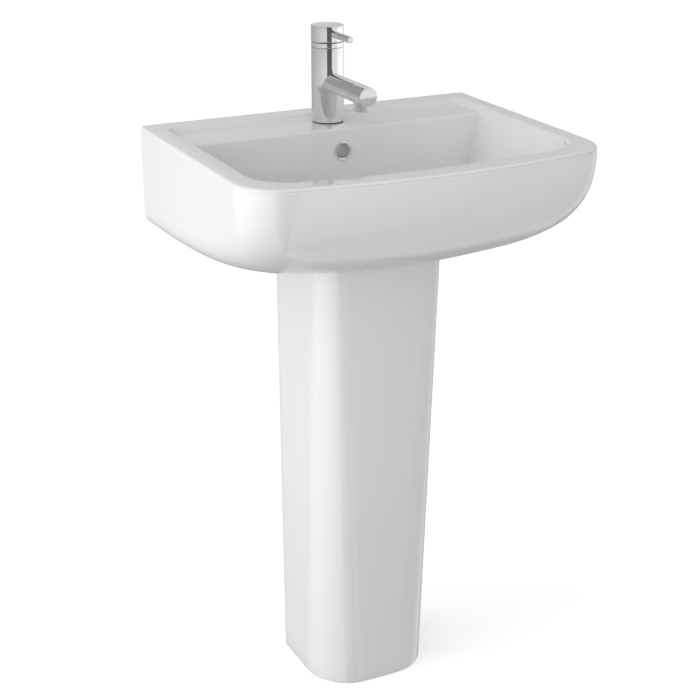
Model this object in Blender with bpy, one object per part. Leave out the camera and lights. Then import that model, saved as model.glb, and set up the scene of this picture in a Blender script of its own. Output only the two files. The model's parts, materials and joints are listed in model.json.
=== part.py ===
"""Pedestal wash basin with a pin-lever mixer tap, a push-button waste and a bottle trap.

Units are metres. +X is to the right seen from the front, +Y points to the wall, +Z is up.
The origin lies on the floor, at the middle of the basin's width and depth.
Distances called "out" are measured from the wall plane towards the front, and distances
called "drop" are measured from the top of the rim downwards.
"""

import math

import bmesh
import bpy
from mathutils import Vector

# ---- driving dimensions -------------------------------------------------------------------

BASIN_WIDTH = 0.550
SIDE_DEPTH = 0.408
FRONT_BOW = 0.032
RIM_HEIGHT = 0.880
HULL_DEPTH_FRONT = 0.160
HULL_DEPTH_REAR = 0.150
HULL_CORNER_RADIUS = 0.050
RIM_EDGE_ROUND = 0.006
BASE_HALF_WIDTH = 0.060
BASE_OUT = 0.293
SOFT_SECTION = 2.2
BOX_SECTION = 23.0
SECTION_GROWTH = 1.8

SHELL_WALL = 0.010
BASE_WALL = 0.016
REAR_PANEL = 0.014
LEDGE_THICKNESS = 0.0155

RIM_WIDTH_SIDE = 0.033
RIM_WIDTH_REAR = 0.036
LEDGE_DROP = 0.0065
LEDGE_FALL = 0.0003
BOWL_REAR_OUT = 0.1165
BOWL_CORNER_FRONT = 0.050
BOWL_CORNER_REAR = 0.008
SIDE_DRAFT = math.radians(12.5)
REAR_DRAFT = math.radians(1.0)
FRONT_DRAFT = math.radians(14.0)
BOWL_WALL_DROP = 0.075
BOWL_FLOOR_DROP = 0.112
BOWL_FILLET = 0.042
WASTE_DROP = 0.126
WASTE_OUT = 0.205

PEDESTAL_HALF_TOP = 0.103
PEDESTAL_HALF_FOOT = 0.098
PEDESTAL_FRONT_TOP = 0.262
PEDESTAL_FRONT_FOOT = 0.249
PEDESTAL_BOW = 0.005
PEDESTAL_CORNER_TOP = 0.035
PEDESTAL_CORNER_FOOT = 0.067
PEDESTAL_REAR_OUT = 0.095
PEDESTAL_WALL = 0.012
PEDESTAL_SEAT_DROP = 0.1515
PEDESTAL_CLEARANCE = 0.0015
FOOT_TAB_LENGTH = 0.045
FOOT_TAB_WIDTH = 0.030
FOOT_TAB_HEIGHT = 0.014
FLOOR_SCREW_RADIUS = 0.0025

TAP_OUT = 0.065
TAP_RADIUS = 0.0245
TAP_HOLE_RADIUS = 0.0175
TAP_SEAL_THICKNESS = 0.001
BODY_TOP = 0.1127
BEZEL_HEIGHT = 0.007
BEZEL_BORE = 0.0229
BEZEL_CHAMFER = 0.0012
DOME_RISE = 0.0030
DOME_WALL = 0.0008
CAP_GAP = 0.001
CAP_HEIGHT = 0.0235
CAP_BORE = 0.0206
CAP_ROOF = 0.005
PIVOT_ABOVE_CAP = 0.010
PIVOT_BACK = 0.013
LEVER_PIN_RADIUS = 0.005
LEVER_PIN_LENGTH = 0.0555
LEVER_PIN_ABOVE_PIVOT = 0.0025
SPOUT_RADIUS = 0.0145
SPOUT_ABOVE_LEDGE = 0.061
SPOUT_BORE = 0.010
SPOUT_SEAM_REACH = 0.100
SPOUT_REACH = 0.135
AERATOR_REACH = 0.115
AERATOR_RADIUS = 0.01225
AERATOR_BELOW_AXIS = 0.023
CARTRIDGE_RADIUS = 0.0174
CARTRIDGE_BOTTOM = 0.0703
CARTRIDGE_TOP = 0.1045
CARTRIDGE_NECK_RADIUS = 0.0125
CARTRIDGE_NECK_TOP = 0.117
STEM_HALF_WIDTH = 0.0070
CROSS_PIN_RADIUS = 0.0020

TAIL_RADIUS = 0.005
TAIL_WALL = 0.0008
TAIL_SPACING = 0.017
TAIL_SPREAD = 0.070
TAIL_LENGTH = 0.390
STUD_RADIUS = 0.004
STUD_LENGTH = 0.075
CLAMP_RADIUS = 0.021

OVERFLOW_DROP = 0.0417
OVERFLOW_RING_RADIUS = 0.0150
OVERFLOW_BORE = 0.0105
OVERFLOW_SLEEVE = 0.0115
OVERFLOW_SLEEVE_DEPTH = 0.007
OVERFLOW_DUCT_RADIUS = 0.005
DUCT_OUT = 0.107
DUCT_DROP = 0.141

WASTE_FLANGE_RADIUS = 0.0325
WASTE_THREAD_RADIUS = 0.0205
WASTE_BORE = 0.0175
WASTE_LENGTH = 0.066
WASTE_RECESS = 0.0045
PLUG_RADIUS = 0.0285
PLUG_TRAVEL = 0.008
SPOT_FACE_DROP = 0.152

TRAP_BODY_RADIUS = 0.031
TRAP_CUP_RADIUS = 0.0345
TRAP_TOP_DROP = 0.205
TRAP_SEAM_DROP = 0.265
TRAP_BOTTOM_DROP = 0.335
TRAP_OUTLET_DROP = 0.232
PIPE_RADIUS = 0.016
PIPE_BORE = 0.0138

WALL_BOLT_HALF_SPACING = 0.140
WALL_BOLT_DROP = 0.075
WALL_BOLT_RADIUS = 0.005
WALL_BOLT_LENGTH = 0.042

GAP = 0.0003
ROUND_STEPS = 24
FINE_STEPS = 32
PAST = 0.02

# ---- places worked out from them ----------------------------------------------------------

WALL_Y = (SIDE_DEPTH + FRONT_BOW) / 2
BASIN_OUT = SIDE_DEPTH + FRONT_BOW
LEDGE_Z = RIM_HEIGHT - LEDGE_DROP
BOWL_HALF = BASIN_WIDTH / 2 - RIM_WIDTH_SIDE
BOWL_BOW = FRONT_BOW * (BOWL_HALF / (BASIN_WIDTH / 2)) ** 2
BOWL_SIDE_OUT = BASIN_OUT - RIM_WIDTH_SIDE - BOWL_BOW
LEDGE_UNDER_DROP = LEDGE_DROP + LEDGE_THICKNESS
PEDESTAL_TOP = RIM_HEIGHT - PEDESTAL_SEAT_DROP - GAP
TAP_Y = WALL_Y - TAP_OUT
BEZEL_BOTTOM = BODY_TOP + GAP
BEZEL_TOP = BEZEL_BOTTOM + BEZEL_HEIGHT
CAP_BOTTOM = BEZEL_TOP + CAP_GAP
CAP_TOP = CAP_BOTTOM + CAP_HEIGHT
PIVOT_Z = LEDGE_Z + CAP_BOTTOM + PIVOT_ABOVE_CAP
WASTE_Y = WALL_Y - WASTE_OUT
WASTE_Z = RIM_HEIGHT - WASTE_DROP
TAP_AXIS = Vector((0, TAP_Y, LEDGE_Z))
PIVOT = Vector((0, TAP_Y + PIVOT_BACK, PIVOT_Z))
WASTE_AXIS = Vector((0, WASTE_Y, WASTE_Z))
OVERFLOW_TURN = (math.pi / 2 - REAR_DRAFT, 0, 0)

# ---- finishes: colour, roughness, metallic ------------------------------------------------

GLAZE = ((0.88, 0.88, 0.87), 0.10, 0.0)
CHROME = ((0.80, 0.81, 0.83), 0.06, 1.0)
BRASS = ((0.72, 0.55, 0.26), 0.30, 1.0)
COPPER = ((0.80, 0.45, 0.30), 0.28, 1.0)
STEEL = ((0.62, 0.63, 0.64), 0.30, 1.0)
RUBBER = ((0.04, 0.04, 0.04), 0.75, 0.0)
WHITE_PLASTIC = ((0.82, 0.82, 0.80), 0.38, 0.0)
GREY_PLASTIC = ((0.45, 0.46, 0.48), 0.45, 0.0)


# ---- building blocks ----------------------------------------------------------------------


def out(distance):
    """The Y of a point that is this far out from the wall plane."""
    return WALL_Y - distance


def down(drop):
    """The Z of a point that is this far below the top of the rim."""
    return RIM_HEIGHT - drop


def finished(obj, finish):
    """Gives the object a material of its own and shades its round faces smooth."""
    colour, roughness, metallic = finish
    material = bpy.data.materials.new(obj.name)
    material.use_nodes = True
    shader = material.node_tree.nodes["Principled BSDF"]
    shader.inputs["Base Color"].default_value = (*colour, 1)
    shader.inputs["Roughness"].default_value = roughness
    shader.inputs["Metallic"].default_value = metallic
    obj.data.materials.append(material)
    if obj.type == "MESH":
        obj.data.shade_smooth()
        obj.data.set_sharp_from_angle(angle=math.radians(35))
    return obj


def object_of(name, mesh, place=(0, 0, 0), turn=(0, 0, 0)):
    """Turns a bmesh into an object, with doubles merged and faces outward."""
    bmesh.ops.remove_doubles(mesh, verts=mesh.verts, dist=1e-7)
    bmesh.ops.recalc_face_normals(mesh, faces=mesh.faces)
    data = bpy.data.meshes.new(name)
    mesh.to_mesh(data)
    mesh.free()
    obj = bpy.data.objects.new(name, data)
    bpy.context.scene.collection.objects.link(obj)
    obj.location = place
    obj.rotation_euler = turn
    return obj


def turned(name, profile, place=(0, 0, 0), turn=(0, 0, 0), steps=ROUND_STEPS, ring=False):
    """Spins (radius, height) points about Z. A ring's profile is a closed loop off the axis."""
    mesh = bmesh.new()
    verts = [mesh.verts.new((radius, 0, height)) for radius, height in profile]
    pairs = list(zip(verts, verts[1:]))
    if ring:
        pairs.append((verts[-1], verts[0]))
    edges = [mesh.edges.new(pair) for pair in pairs]
    bmesh.ops.spin(
        mesh, geom=verts + edges, cent=(0, 0, 0), axis=(0, 0, 1), angle=2 * math.pi, steps=steps,
        use_merge=True,
    )
    return object_of(name, mesh, place, turn)


def cylinder(name, radius, low, high, place=(0, 0, 0), turn=(0, 0, 0), steps=ROUND_STEPS):
    profile = [(0, low), (radius, low), (radius, high), (0, high)]
    return turned(name, profile, place, turn, steps)


def tube(name, inner, outer, low, high, place=(0, 0, 0), turn=(0, 0, 0), steps=ROUND_STEPS):
    profile = [(inner, low), (outer, low), (outer, high), (inner, high)]
    return turned(name, profile, place, turn, steps, ring=True)


def box(name, low, high):
    """A block between two corners."""
    mesh = bmesh.new()
    bmesh.ops.create_cube(mesh, size=1)
    low, high = Vector(low), Vector(high)
    bmesh.ops.scale(mesh, vec=high - low, verts=mesh.verts)
    bmesh.ops.translate(mesh, vec=(high + low) / 2, verts=mesh.verts)
    return object_of(name, mesh)


def lofted(name, rings, flat_side=False, joined_ends=False):
    """Skins rings of points. The first and last rings are capped, or joined to each other.

    With flat_side, the span from each ring's last point back to its first is one flat face.
    """
    mesh = bmesh.new()
    rows = [[mesh.verts.new(point) for point in ring] for ring in rings]
    pairs = list(zip(rows, rows[1:]))
    if joined_ends:
        pairs.append((rows[-1], rows[0]))
    count = len(rows[0])
    spans = range(count - 1 if flat_side else count)
    for lower, upper in pairs:
        for i in spans:
            j = (i + 1) % count
            mesh.faces.new((lower[i], lower[j], upper[j], upper[i]))
    if flat_side:
        mesh.faces.new([row[0] for row in rows] + [row[-1] for row in reversed(rows)])
    if not joined_ends:
        mesh.faces.new(rows[0])
        mesh.faces.new(rows[-1])
    return object_of(name, mesh)


def hexagon_nut(name, across_flats, bore, low, high, place, turn=(0, 0, 0), steps=24):
    """A hexagonal nut with a round bore, as one ring of matched sections."""
    sections = []
    for i in range(steps):
        angle = 2 * math.pi * i / steps
        from_flat = (angle % (math.pi / 3)) - math.pi / 6
        outer = across_flats / 2 / math.cos(from_flat)
        ray = Vector((math.cos(angle), math.sin(angle), 0))
        sections.append(
            [ray * radius + Vector((0, 0, z)) for radius, z in
             ((bore, low), (outer, low), (outer, high), (bore, high))]
        )
    obj = lofted(name, sections, joined_ends=True)
    obj.location = place
    obj.rotation_euler = turn
    return obj


def cutter(obj):
    """Marks a helper that only shapes other pieces."""
    obj.hide_render = True
    obj.display_type = "WIRE"
    return obj


def combine(target, other, operation="DIFFERENCE"):
    """Cuts the helper from the target, or joins it to the target."""
    modifier = target.modifiers.new(other.name, "BOOLEAN")
    modifier.operation = operation
    modifier.object = cutter(other)
    return target


def axis_empty(name, place, parent=None):
    """An empty that stands on a joint's axis."""
    empty = bpy.data.objects.new(name, None)
    bpy.context.scene.collection.objects.link(empty)
    empty.empty_display_size = 0.02
    empty.location = Vector(place)
    if parent:
        hang(empty, parent)
    return empty


def hang(child, parent):
    """Parents the child and keeps it in its place. No axis empty is turned."""
    above = parent
    while above:
        child.location -= above.location
        above = above.parent
    child.parent = parent


# ---- basin --------------------------------------------------------------------------------


def fronted_outline(half_width, rear_out, side_out, bow, radius, side_steps, arc_steps, bow_steps):
    """(x, out) points from the rear left, round the bowed front, to the rear right."""

    def front_at(x):
        return side_out + bow * (1 - (x / half_width) ** 2)

    left = []
    for i in range(side_steps):
        share = i / side_steps
        left.append((-half_width, rear_out + (side_out - radius - rear_out) * share))
    for i in range(arc_steps + 1):
        angle = math.pi / 2 * i / arc_steps
        x = -half_width + radius * (1 - math.cos(angle))
        left.append((x, front_at(x) - radius * (1 - math.sin(angle))))
    straight = half_width - radius
    middle = [-straight + 2 * straight * i / bow_steps for i in range(1, bow_steps)]
    return left + [(x, front_at(x)) for x in middle] + [(-x, y) for x, y in reversed(left)]


def hull(name, inset, top_drop, base_inset, rear_out, edge_round, steps):
    """The basin's outer body, or a smaller one inside it.

    The section is a rounded quarter from the rim to the base. It is soft at the front and
    grows to nearly a square box at the wall.
    """
    side_steps, arc_steps, bow_steps, section_steps = steps
    outline = fronted_outline(
        BASIN_WIDTH / 2 - inset, rear_out, SIDE_DEPTH - inset, FRONT_BOW,
        HULL_CORNER_RADIUS - inset, side_steps, arc_steps, bow_steps,
    )
    rings = []
    for i in range(3 if edge_round else 0):
        angle = math.pi / 2 * i / 3
        shrink = edge_round * (1 - math.sin(angle))
        level = down(top_drop + edge_round * (1 - math.cos(angle)))
        rings.append([(x * (1 - shrink / BASIN_WIDTH * 2), out(y * (1 - shrink / BASIN_OUT)
                      if y > rear_out else y), level) for x, y in outline])
    for i in range(section_steps + 1):
        share = 2 * i / section_steps - 1
        angle = math.pi / 4 * (1 + math.copysign(abs(share) ** 1.5, share))
        rings.append([])
        for x, y in outline:
            to_wall = 1 - y / BASIN_OUT
            power = SOFT_SECTION + (BOX_SECTION - SOFT_SECTION) * to_wall**SECTION_GROWTH
            size = (math.cos(angle) ** power + math.sin(angle) ** power) ** (-1 / power)
            across, along = size * math.cos(angle), size * math.sin(angle)
            base = HULL_DEPTH_FRONT + (HULL_DEPTH_REAR - HULL_DEPTH_FRONT) * to_wall - base_inset
            base_x = x * BASE_HALF_WIDTH / (BASIN_WIDTH / 2)
            base_y = rear_out + (y - rear_out) * BASE_OUT / BASIN_OUT
            start = top_drop + edge_round
            rings[-1].append((
                base_x + (x - base_x) * across,
                out(base_y + (y - base_y) * across),
                down(start + (base - start) * along),
            ))
    return lofted(name, rings, flat_side=True)


def bowl_ring(drop, rear_out, spread, corner_front, corner_rear):
    """One level of the bowl: a bowed front, straight sides and two tight rear corners."""
    fall = max(drop, 0)
    half = BOWL_HALF + spread - fall * math.tan(SIDE_DRAFT)
    side_out = BOWL_SIDE_OUT + spread - fall * math.tan(FRONT_DRAFT)
    front = fronted_outline(
        half, rear_out + corner_rear, side_out, BOWL_BOW, corner_front, 1, 7, 8
    )
    corner = []
    for i in range(4):
        angle = math.pi / 2 * i / 4
        corner.append((half - corner_rear * (1 - math.sin(angle)),
                       rear_out + corner_rear * (1 - math.cos(angle))))
    right = [(x, y) for x, y in reversed(corner)]
    left = [(-x, y) for x, y in corner]
    return front + right + left


def rear_wall_out(drop):
    """How far out the bowl's leaning rear wall is at this drop."""
    return BOWL_REAR_OUT + drop * math.tan(REAR_DRAFT)


def bowl_levels(wall):
    """The bowl's levels from above the rim to the waste, or the bowl's outside if wall > 0."""
    levels = []
    corner = BOWL_CORNER_FRONT + wall
    corner_rear = BOWL_CORNER_REAR + wall
    if not wall:
        soft = 0.004
        levels.append((-PAST, bowl_ring(-PAST, RIM_WIDTH_REAR - soft, soft, corner, 0.014)))
        levels.append((0, bowl_ring(0, RIM_WIDTH_REAR - soft, soft, corner, 0.014)))
        levels.append((0.002, bowl_ring(0.002, RIM_WIDTH_REAR - 0.001, 0.0012, corner, 0.013)))
        levels.append((LEDGE_DROP, bowl_ring(LEDGE_DROP, RIM_WIDTH_REAR, 0, corner, 0.012)))
        edge = LEDGE_DROP + LEDGE_FALL
        levels.append((edge, bowl_ring(edge, BOWL_REAR_OUT - 0.004, 0, corner, 0.010)))
        edge += 0.0045
        levels.append((edge, bowl_ring(edge, rear_wall_out(edge), 0, corner, corner_rear)))
    else:
        top = 0.010
        levels.append((top, bowl_ring(top, rear_wall_out(top) - wall, wall, corner, corner_rear)))
    rear = rear_wall_out(BOWL_WALL_DROP) - wall
    levels.append((BOWL_WALL_DROP, bowl_ring(BOWL_WALL_DROP, rear, wall, corner, corner_rear)))
    deeper = WASTE_DROP - BOWL_FLOOR_DROP
    under = 0.020 if wall else 0
    for i in range(1, 5):
        angle = math.pi / 2 * i / 4.5
        inward = BOWL_FILLET * (1 - math.cos(angle))
        drop = BOWL_WALL_DROP + (BOWL_FLOOR_DROP + under - BOWL_WALL_DROP) * math.sin(angle)
        levels.append((drop, bowl_ring(BOWL_WALL_DROP, rear + inward, wall - inward,
                                       corner, corner_rear + 0.6 * inward)))
    floor = levels[-1][1]
    radius = WASTE_FLANGE_RADIUS + 0.012
    for share in (0.5, 1):
        ring = []
        for x, y in floor:
            ray = Vector((x, y - WASTE_OUT)).normalized() * radius
            ring.append((x + (ray.x - x) * share, y + (WASTE_OUT + ray.y - y) * share))
        levels.append((WASTE_DROP + under - deeper * (1 - share) * 0.8, ring))
    return levels


def bowl(name, wall):
    return lofted(name, [[(x, out(y), down(drop)) for x, y in ring]
                         for drop, ring in bowl_levels(wall)])


def pedestal_section(share, grow=0.0, rear_out=PEDESTAL_REAR_OUT):
    """The pedestal's outer and inner edges at a share of its height, as one U-shaped ring."""
    half = PEDESTAL_HALF_FOOT + (PEDESTAL_HALF_TOP - PEDESTAL_HALF_FOOT) * share
    side_out = PEDESTAL_FRONT_FOOT + (PEDESTAL_FRONT_TOP - PEDESTAL_FRONT_FOOT) * share
    corner = PEDESTAL_CORNER_FOOT + (PEDESTAL_CORNER_TOP - PEDESTAL_CORNER_FOOT) * share
    outer = fronted_outline(
        half + grow, rear_out, side_out + grow, PEDESTAL_BOW, corner + grow, 1, 7, 6
    )
    thin = PEDESTAL_WALL + grow
    inner = fronted_outline(
        half - thin, rear_out, side_out - thin, PEDESTAL_BOW,
        corner - thin, 1, 7, 6,
    )
    return outer + list(reversed(inner))


def make_basin():
    """One ceramic casting: body, bowl, tap ledge, hollow underside and all its holes."""
    basin = hull("basin", 0, 0, 0, 0, RIM_EDGE_ROUND, (8, 7, 12, 14))
    hollow = hull("basin_hollow", SHELL_WALL, LEDGE_UNDER_DROP, BASE_WALL, REAR_PANEL, 0,
                  (6, 5, 8, 9))
    combine(hollow, bowl("bowl_underside", SHELL_WALL))
    rib_half = OVERFLOW_SLEEVE + 0.006
    rib_back = DUCT_OUT - OVERFLOW_DUCT_RADIUS - 0.008
    combine(hollow, box("overflow_rib", (-rib_half, out(WASTE_OUT), down(0.2)),
                        (rib_half, out(rib_back), down(0))))
    combine(basin, hollow)
    combine(basin, bowl("bowl_space", 0))

    behind_bowl = rib_back - 0.003
    openings = ((-0.075, 0.075), (0.098, 0.232), (-0.232, -0.098))
    for number, (left, right) in enumerate(openings):
        combine(basin, box(f"rear_opening_{number}",
                           (left, out(behind_bowl), down(HULL_DEPTH_FRONT + PAST)),
                           (right, out(REAR_PANEL + 0.002), down(0.110))))
    combine(basin, cylinder("tap_hole", TAP_HOLE_RADIUS, -0.05, PAST, TAP_AXIS))
    combine(basin, cylinder("waste_hole", WASTE_THREAD_RADIUS + 0.002, -0.08, PAST, WASTE_AXIS))
    combine(basin, cylinder("waste_recess", WASTE_FLANGE_RADIUS + 2 * GAP, -WASTE_RECESS, PAST,
                            WASTE_AXIS))
    combine(basin, cylinder("spot_face", 0.0335, -0.05, 0,
                            (0, WASTE_Y, down(SPOT_FACE_DROP))))

    upright = (math.pi / 2, 0, 0)
    combine(basin, cylinder("overflow_hole", OVERFLOW_SLEEVE + GAP, -0.016, PAST,
                            overflow_place(), OVERFLOW_TURN, 24))
    combine(basin, cylinder("overflow_duct", OVERFLOW_DUCT_RADIUS, down(DUCT_DROP + 0.004),
                            down(OVERFLOW_DROP), (0, out(DUCT_OUT), 0), steps=12))
    combine(basin, cylinder("waste_duct", OVERFLOW_DUCT_RADIUS - 0.0005, 0,
                            WASTE_OUT - DUCT_OUT, (0, out(DUCT_OUT), down(DUCT_DROP)),
                            upright, 12))
    for side in (-1, 1):
        combine(basin, cylinder(f"bolt_hole_{side}", WALL_BOLT_RADIUS + 0.0025, -PAST, 0.03,
                                (side * WALL_BOLT_HALF_SPACING, WALL_Y, down(WALL_BOLT_DROP)),
                                upright, 16))
    seat = [[(x, out(y), level) for x, y in pedestal_section(1, PEDESTAL_CLEARANCE,
                                                            PEDESTAL_REAR_OUT - 0.0015)]
            for level in (down(PEDESTAL_SEAT_DROP), down(0.20))]
    combine(basin, lofted("pedestal_seat", seat))
    return finished(basin, GLAZE)


def make_pedestal():
    """A tapering column, open at the back, with two screw tabs at its foot."""
    rings = [[(x, out(y), share * PEDESTAL_TOP) for x, y in pedestal_section(share)]
             for share in (0, 1)]
    pedestal = lofted("pedestal", rings)
    for side in (-1, 1):
        near = side * (PEDESTAL_HALF_FOOT - PEDESTAL_WALL - FOOT_TAB_WIDTH)
        far = side * (PEDESTAL_HALF_FOOT - PEDESTAL_WALL / 2)
        tab = box(f"foot_tab_{side}",
                  (min(near, far), out(PEDESTAL_REAR_OUT + 0.004 + FOOT_TAB_LENGTH), 0),
                  (max(near, far), out(PEDESTAL_REAR_OUT + 0.004), FOOT_TAB_HEIGHT))
        combine(pedestal, tab, "UNION")
        combine(pedestal, cylinder(f"foot_hole_{side}", FLOOR_SCREW_RADIUS + 0.001, -PAST, PAST,
                                   floor_screw_place(side), steps=14))
    return finished(pedestal, GLAZE)


def floor_screw_place(side):
    """Where a floor screw stands, at the middle of its foot tab."""
    x = side * (PEDESTAL_HALF_FOOT - PEDESTAL_WALL - FOOT_TAB_WIDTH / 2)
    return Vector((x, out(PEDESTAL_REAR_OUT + 0.004 + FOOT_TAB_LENGTH / 2), 0))


def make_floor_screws():
    for side, label in ((-1, "left"), (1, "right")):
        place = floor_screw_place(side)
        top = FOOT_TAB_HEIGHT
        head = FLOOR_SCREW_RADIUS * 2
        screw = turned(f"floor_screw_{label}", [
            (0, 0.0005), (FLOOR_SCREW_RADIUS, 0.0005), (FLOOR_SCREW_RADIUS, top + 0.0018),
            (head, top + 0.0018), (head * 0.8, top + 0.0045), (0, top + 0.0050)],
            place, steps=16)
        finished(screw, STEEL)
        washer = tube(f"floor_washer_{label}", FLOOR_SCREW_RADIUS + GAP, 0.0075, top + GAP,
                      top + 0.0015, place, steps=18)
        finished(washer, WHITE_PLASTIC)


def make_wall_fixings():
    """Two bolts that hold the basin to the wall, each with a bush, a washer and a nut."""
    along = (math.pi / 2, 0, 0)
    for side, label in ((-1, "left"), (1, "right")):
        place = (side * WALL_BOLT_HALF_SPACING, WALL_Y, down(WALL_BOLT_DROP))
        bolt = turned(f"wall_bolt_{label}", [
            (0, 0), (WALL_BOLT_RADIUS, 0), (WALL_BOLT_RADIUS, WALL_BOLT_LENGTH - 0.001),
            (WALL_BOLT_RADIUS - 0.001, WALL_BOLT_LENGTH), (0, WALL_BOLT_LENGTH)],
            place, along, 16)
        finished(bolt, STEEL)
        fit = WALL_BOLT_RADIUS + GAP
        inside = REAR_PANEL + GAP
        bush = turned(f"wall_bush_{label}", [
            (fit, 0.002), (WALL_BOLT_RADIUS + 0.0022, 0.002), (WALL_BOLT_RADIUS + 0.0022, inside),
            (0.014, inside), (0.012, inside + 0.005), (fit, inside + 0.005)],
            place, along, 20, ring=True)
        finished(bush, WHITE_PLASTIC)
        washer = tube(f"wall_washer_{label}", fit, 0.0105, inside + 0.0053, inside + 0.0073,
                      place, along, 20)
        finished(washer, STEEL)
        nut = hexagon_nut(f"wall_nut_{label}", 0.017, fit, inside + 0.0076, inside + 0.0156,
                          place, along)
        finished(nut, STEEL)


# ---- tap ----------------------------------------------------------------------------------


def above_ledge(height):
    return LEDGE_Z + height


def make_tap_body():
    """The column: cartridge chamber from the top, waterways, tails and stud from below."""
    bottom = TAP_SEAL_THICKNESS + 2 * GAP
    shoulder = CARTRIDGE_TOP + GAP
    chamber = CARTRIDGE_RADIUS + GAP
    nut_bore = TAP_RADIUS - 0.0035
    body = turned("tap_body", [
        (0, bottom), (TAP_RADIUS - 0.0006, bottom), (TAP_RADIUS, bottom + 0.0006),
        (TAP_RADIUS, BODY_TOP - 0.0004), (TAP_RADIUS - 0.0004, BODY_TOP), (nut_bore, BODY_TOP),
        (nut_bore, shoulder), (chamber, shoulder), (chamber, CARTRIDGE_BOTTOM - GAP),
        (0, CARTRIDGE_BOTTOM - GAP)], TAP_AXIS, steps=FINE_STEPS)
    waterway = 0.005
    combine(body, cylinder("body_waterway", waterway, -0.002, TAP_RADIUS + PAST,
                           (0, TAP_Y, above_ledge(SPOUT_ABOVE_LEDGE)), (math.pi / 2, 0, 0), 16))
    combine(body, cylinder("body_riser", 0.004, SPOUT_ABOVE_LEDGE, CARTRIDGE_BOTTOM + 0.005,
                           TAP_AXIS, steps=14))
    for side in (-1, 1):
        place = TAP_AXIS + Vector((side * TAIL_SPACING / 2, -0.006, 0))
        combine(body, turned(f"tail_socket_{side}", [
            (0, -PAST), (TAIL_RADIUS + GAP, -PAST), (TAIL_RADIUS + GAP, 0.020), (0.0025, 0.020),
            (0.0025, CARTRIDGE_BOTTOM + 0.005), (0, CARTRIDGE_BOTTOM + 0.005)], place, steps=14))
    combine(body, cylinder("stud_socket", STUD_RADIUS + GAP, -PAST, 0.016,
                           TAP_AXIS + Vector((0, 0.009, 0)), steps=14))
    return finished(body, CHROME)


def make_spout():
    """The level spout and its separate end piece, with the aerator below the end."""
    forward = (math.pi / 2, 0, 0)
    place = (0, TAP_Y, above_ledge(SPOUT_ABOVE_LEDGE))
    spout = tube("tap_spout", SPOUT_BORE, SPOUT_RADIUS, 0.008, SPOUT_SEAM_REACH - GAP / 2,
                 place, forward, FINE_STEPS)
    combine(spout, cylinder("spout_saddle", TAP_RADIUS + GAP, 0, 0.1, TAP_AXIS, steps=FINE_STEPS))
    finished(spout, CHROME)

    end = turned("spout_end", [
        (0, SPOUT_REACH), (SPOUT_RADIUS - 0.001, SPOUT_REACH), (SPOUT_RADIUS, SPOUT_REACH - 0.001),
        (SPOUT_RADIUS, SPOUT_SEAM_REACH + GAP / 2), (SPOUT_BORE, SPOUT_SEAM_REACH + GAP / 2),
        (SPOUT_BORE, AERATOR_REACH + 0.008), (0, AERATOR_REACH + 0.008)],
        place, forward, FINE_STEPS)
    nozzle = (0, TAP_Y - AERATOR_REACH, above_ledge(SPOUT_ABOVE_LEDGE))
    combine(end, cylinder("aerator_socket", AERATOR_RADIUS + GAP, -0.04, -0.002, nozzle, steps=24))
    finished(end, CHROME)

    housing = turned("aerator_housing", [
        (0.0088, -AERATOR_BELOW_AXIS), (AERATOR_RADIUS - 0.0006, -AERATOR_BELOW_AXIS),
        (AERATOR_RADIUS, -AERATOR_BELOW_AXIS + 0.0006), (AERATOR_RADIUS, -0.0025),
        (0.0105, -0.0025), (0.0105, -AERATOR_BELOW_AXIS + 0.0015),
        (0.0088, -AERATOR_BELOW_AXIS + 0.0015)], nozzle, steps=24, ring=True)
    finished(housing, CHROME)
    insert = cylinder("aerator_insert", 0.0102, -AERATOR_BELOW_AXIS + 0.0018, -0.010, nozzle,
                      steps=20)
    finished(insert, GREY_PLASTIC)


def make_cartridge():
    """The ceramic cartridge with its neck, the nut that holds it and the trim ring above."""
    cartridge = turned("cartridge_body", [
        (0, CARTRIDGE_BOTTOM), (CARTRIDGE_RADIUS, CARTRIDGE_BOTTOM),
        (CARTRIDGE_RADIUS, CARTRIDGE_TOP), (CARTRIDGE_NECK_RADIUS, CARTRIDGE_TOP),
        (CARTRIDGE_NECK_RADIUS, CARTRIDGE_NECK_TOP), (0.0090, CARTRIDGE_NECK_TOP),
        (0.0090, CARTRIDGE_NECK_TOP - 0.008), (0, CARTRIDGE_NECK_TOP - 0.008)],
        TAP_AXIS, steps=24)
    finished(cartridge, GREY_PLASTIC)
    nut_radius = TAP_RADIUS - 0.0035 - GAP
    nut = tube("cartridge_nut", CARTRIDGE_NECK_RADIUS + GAP, nut_radius, CARTRIDGE_TOP + 2 * GAP,
               BODY_TOP - 0.001, TAP_AXIS, steps=24)
    finished(nut, BRASS)
    dome_foot = BEZEL_BOTTOM + 0.0015
    dome_edge = CARTRIDGE_NECK_RADIUS + GAP
    dome = [(BEZEL_BORE - (BEZEL_BORE - dome_edge) * i / 4,
             dome_foot + DOME_RISE * math.sin(math.pi / 2 * i / 4)) for i in range(5)]
    bezel = turned("bezel_ring", [
        (TAP_RADIUS - 0.0005, BEZEL_BOTTOM), (TAP_RADIUS, BEZEL_BOTTOM + 0.0005),
        (TAP_RADIUS, BEZEL_TOP - 0.0005), (TAP_RADIUS - 0.0005, BEZEL_TOP),
        (BEZEL_BORE, BEZEL_TOP - BEZEL_CHAMFER), *dome,
        *[(radius, height - DOME_WALL) for radius, height in reversed(dome)],
        (BEZEL_BORE, BEZEL_BOTTOM)],
        TAP_AXIS, steps=FINE_STEPS, ring=True)
    finished(bezel, CHROME)


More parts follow.
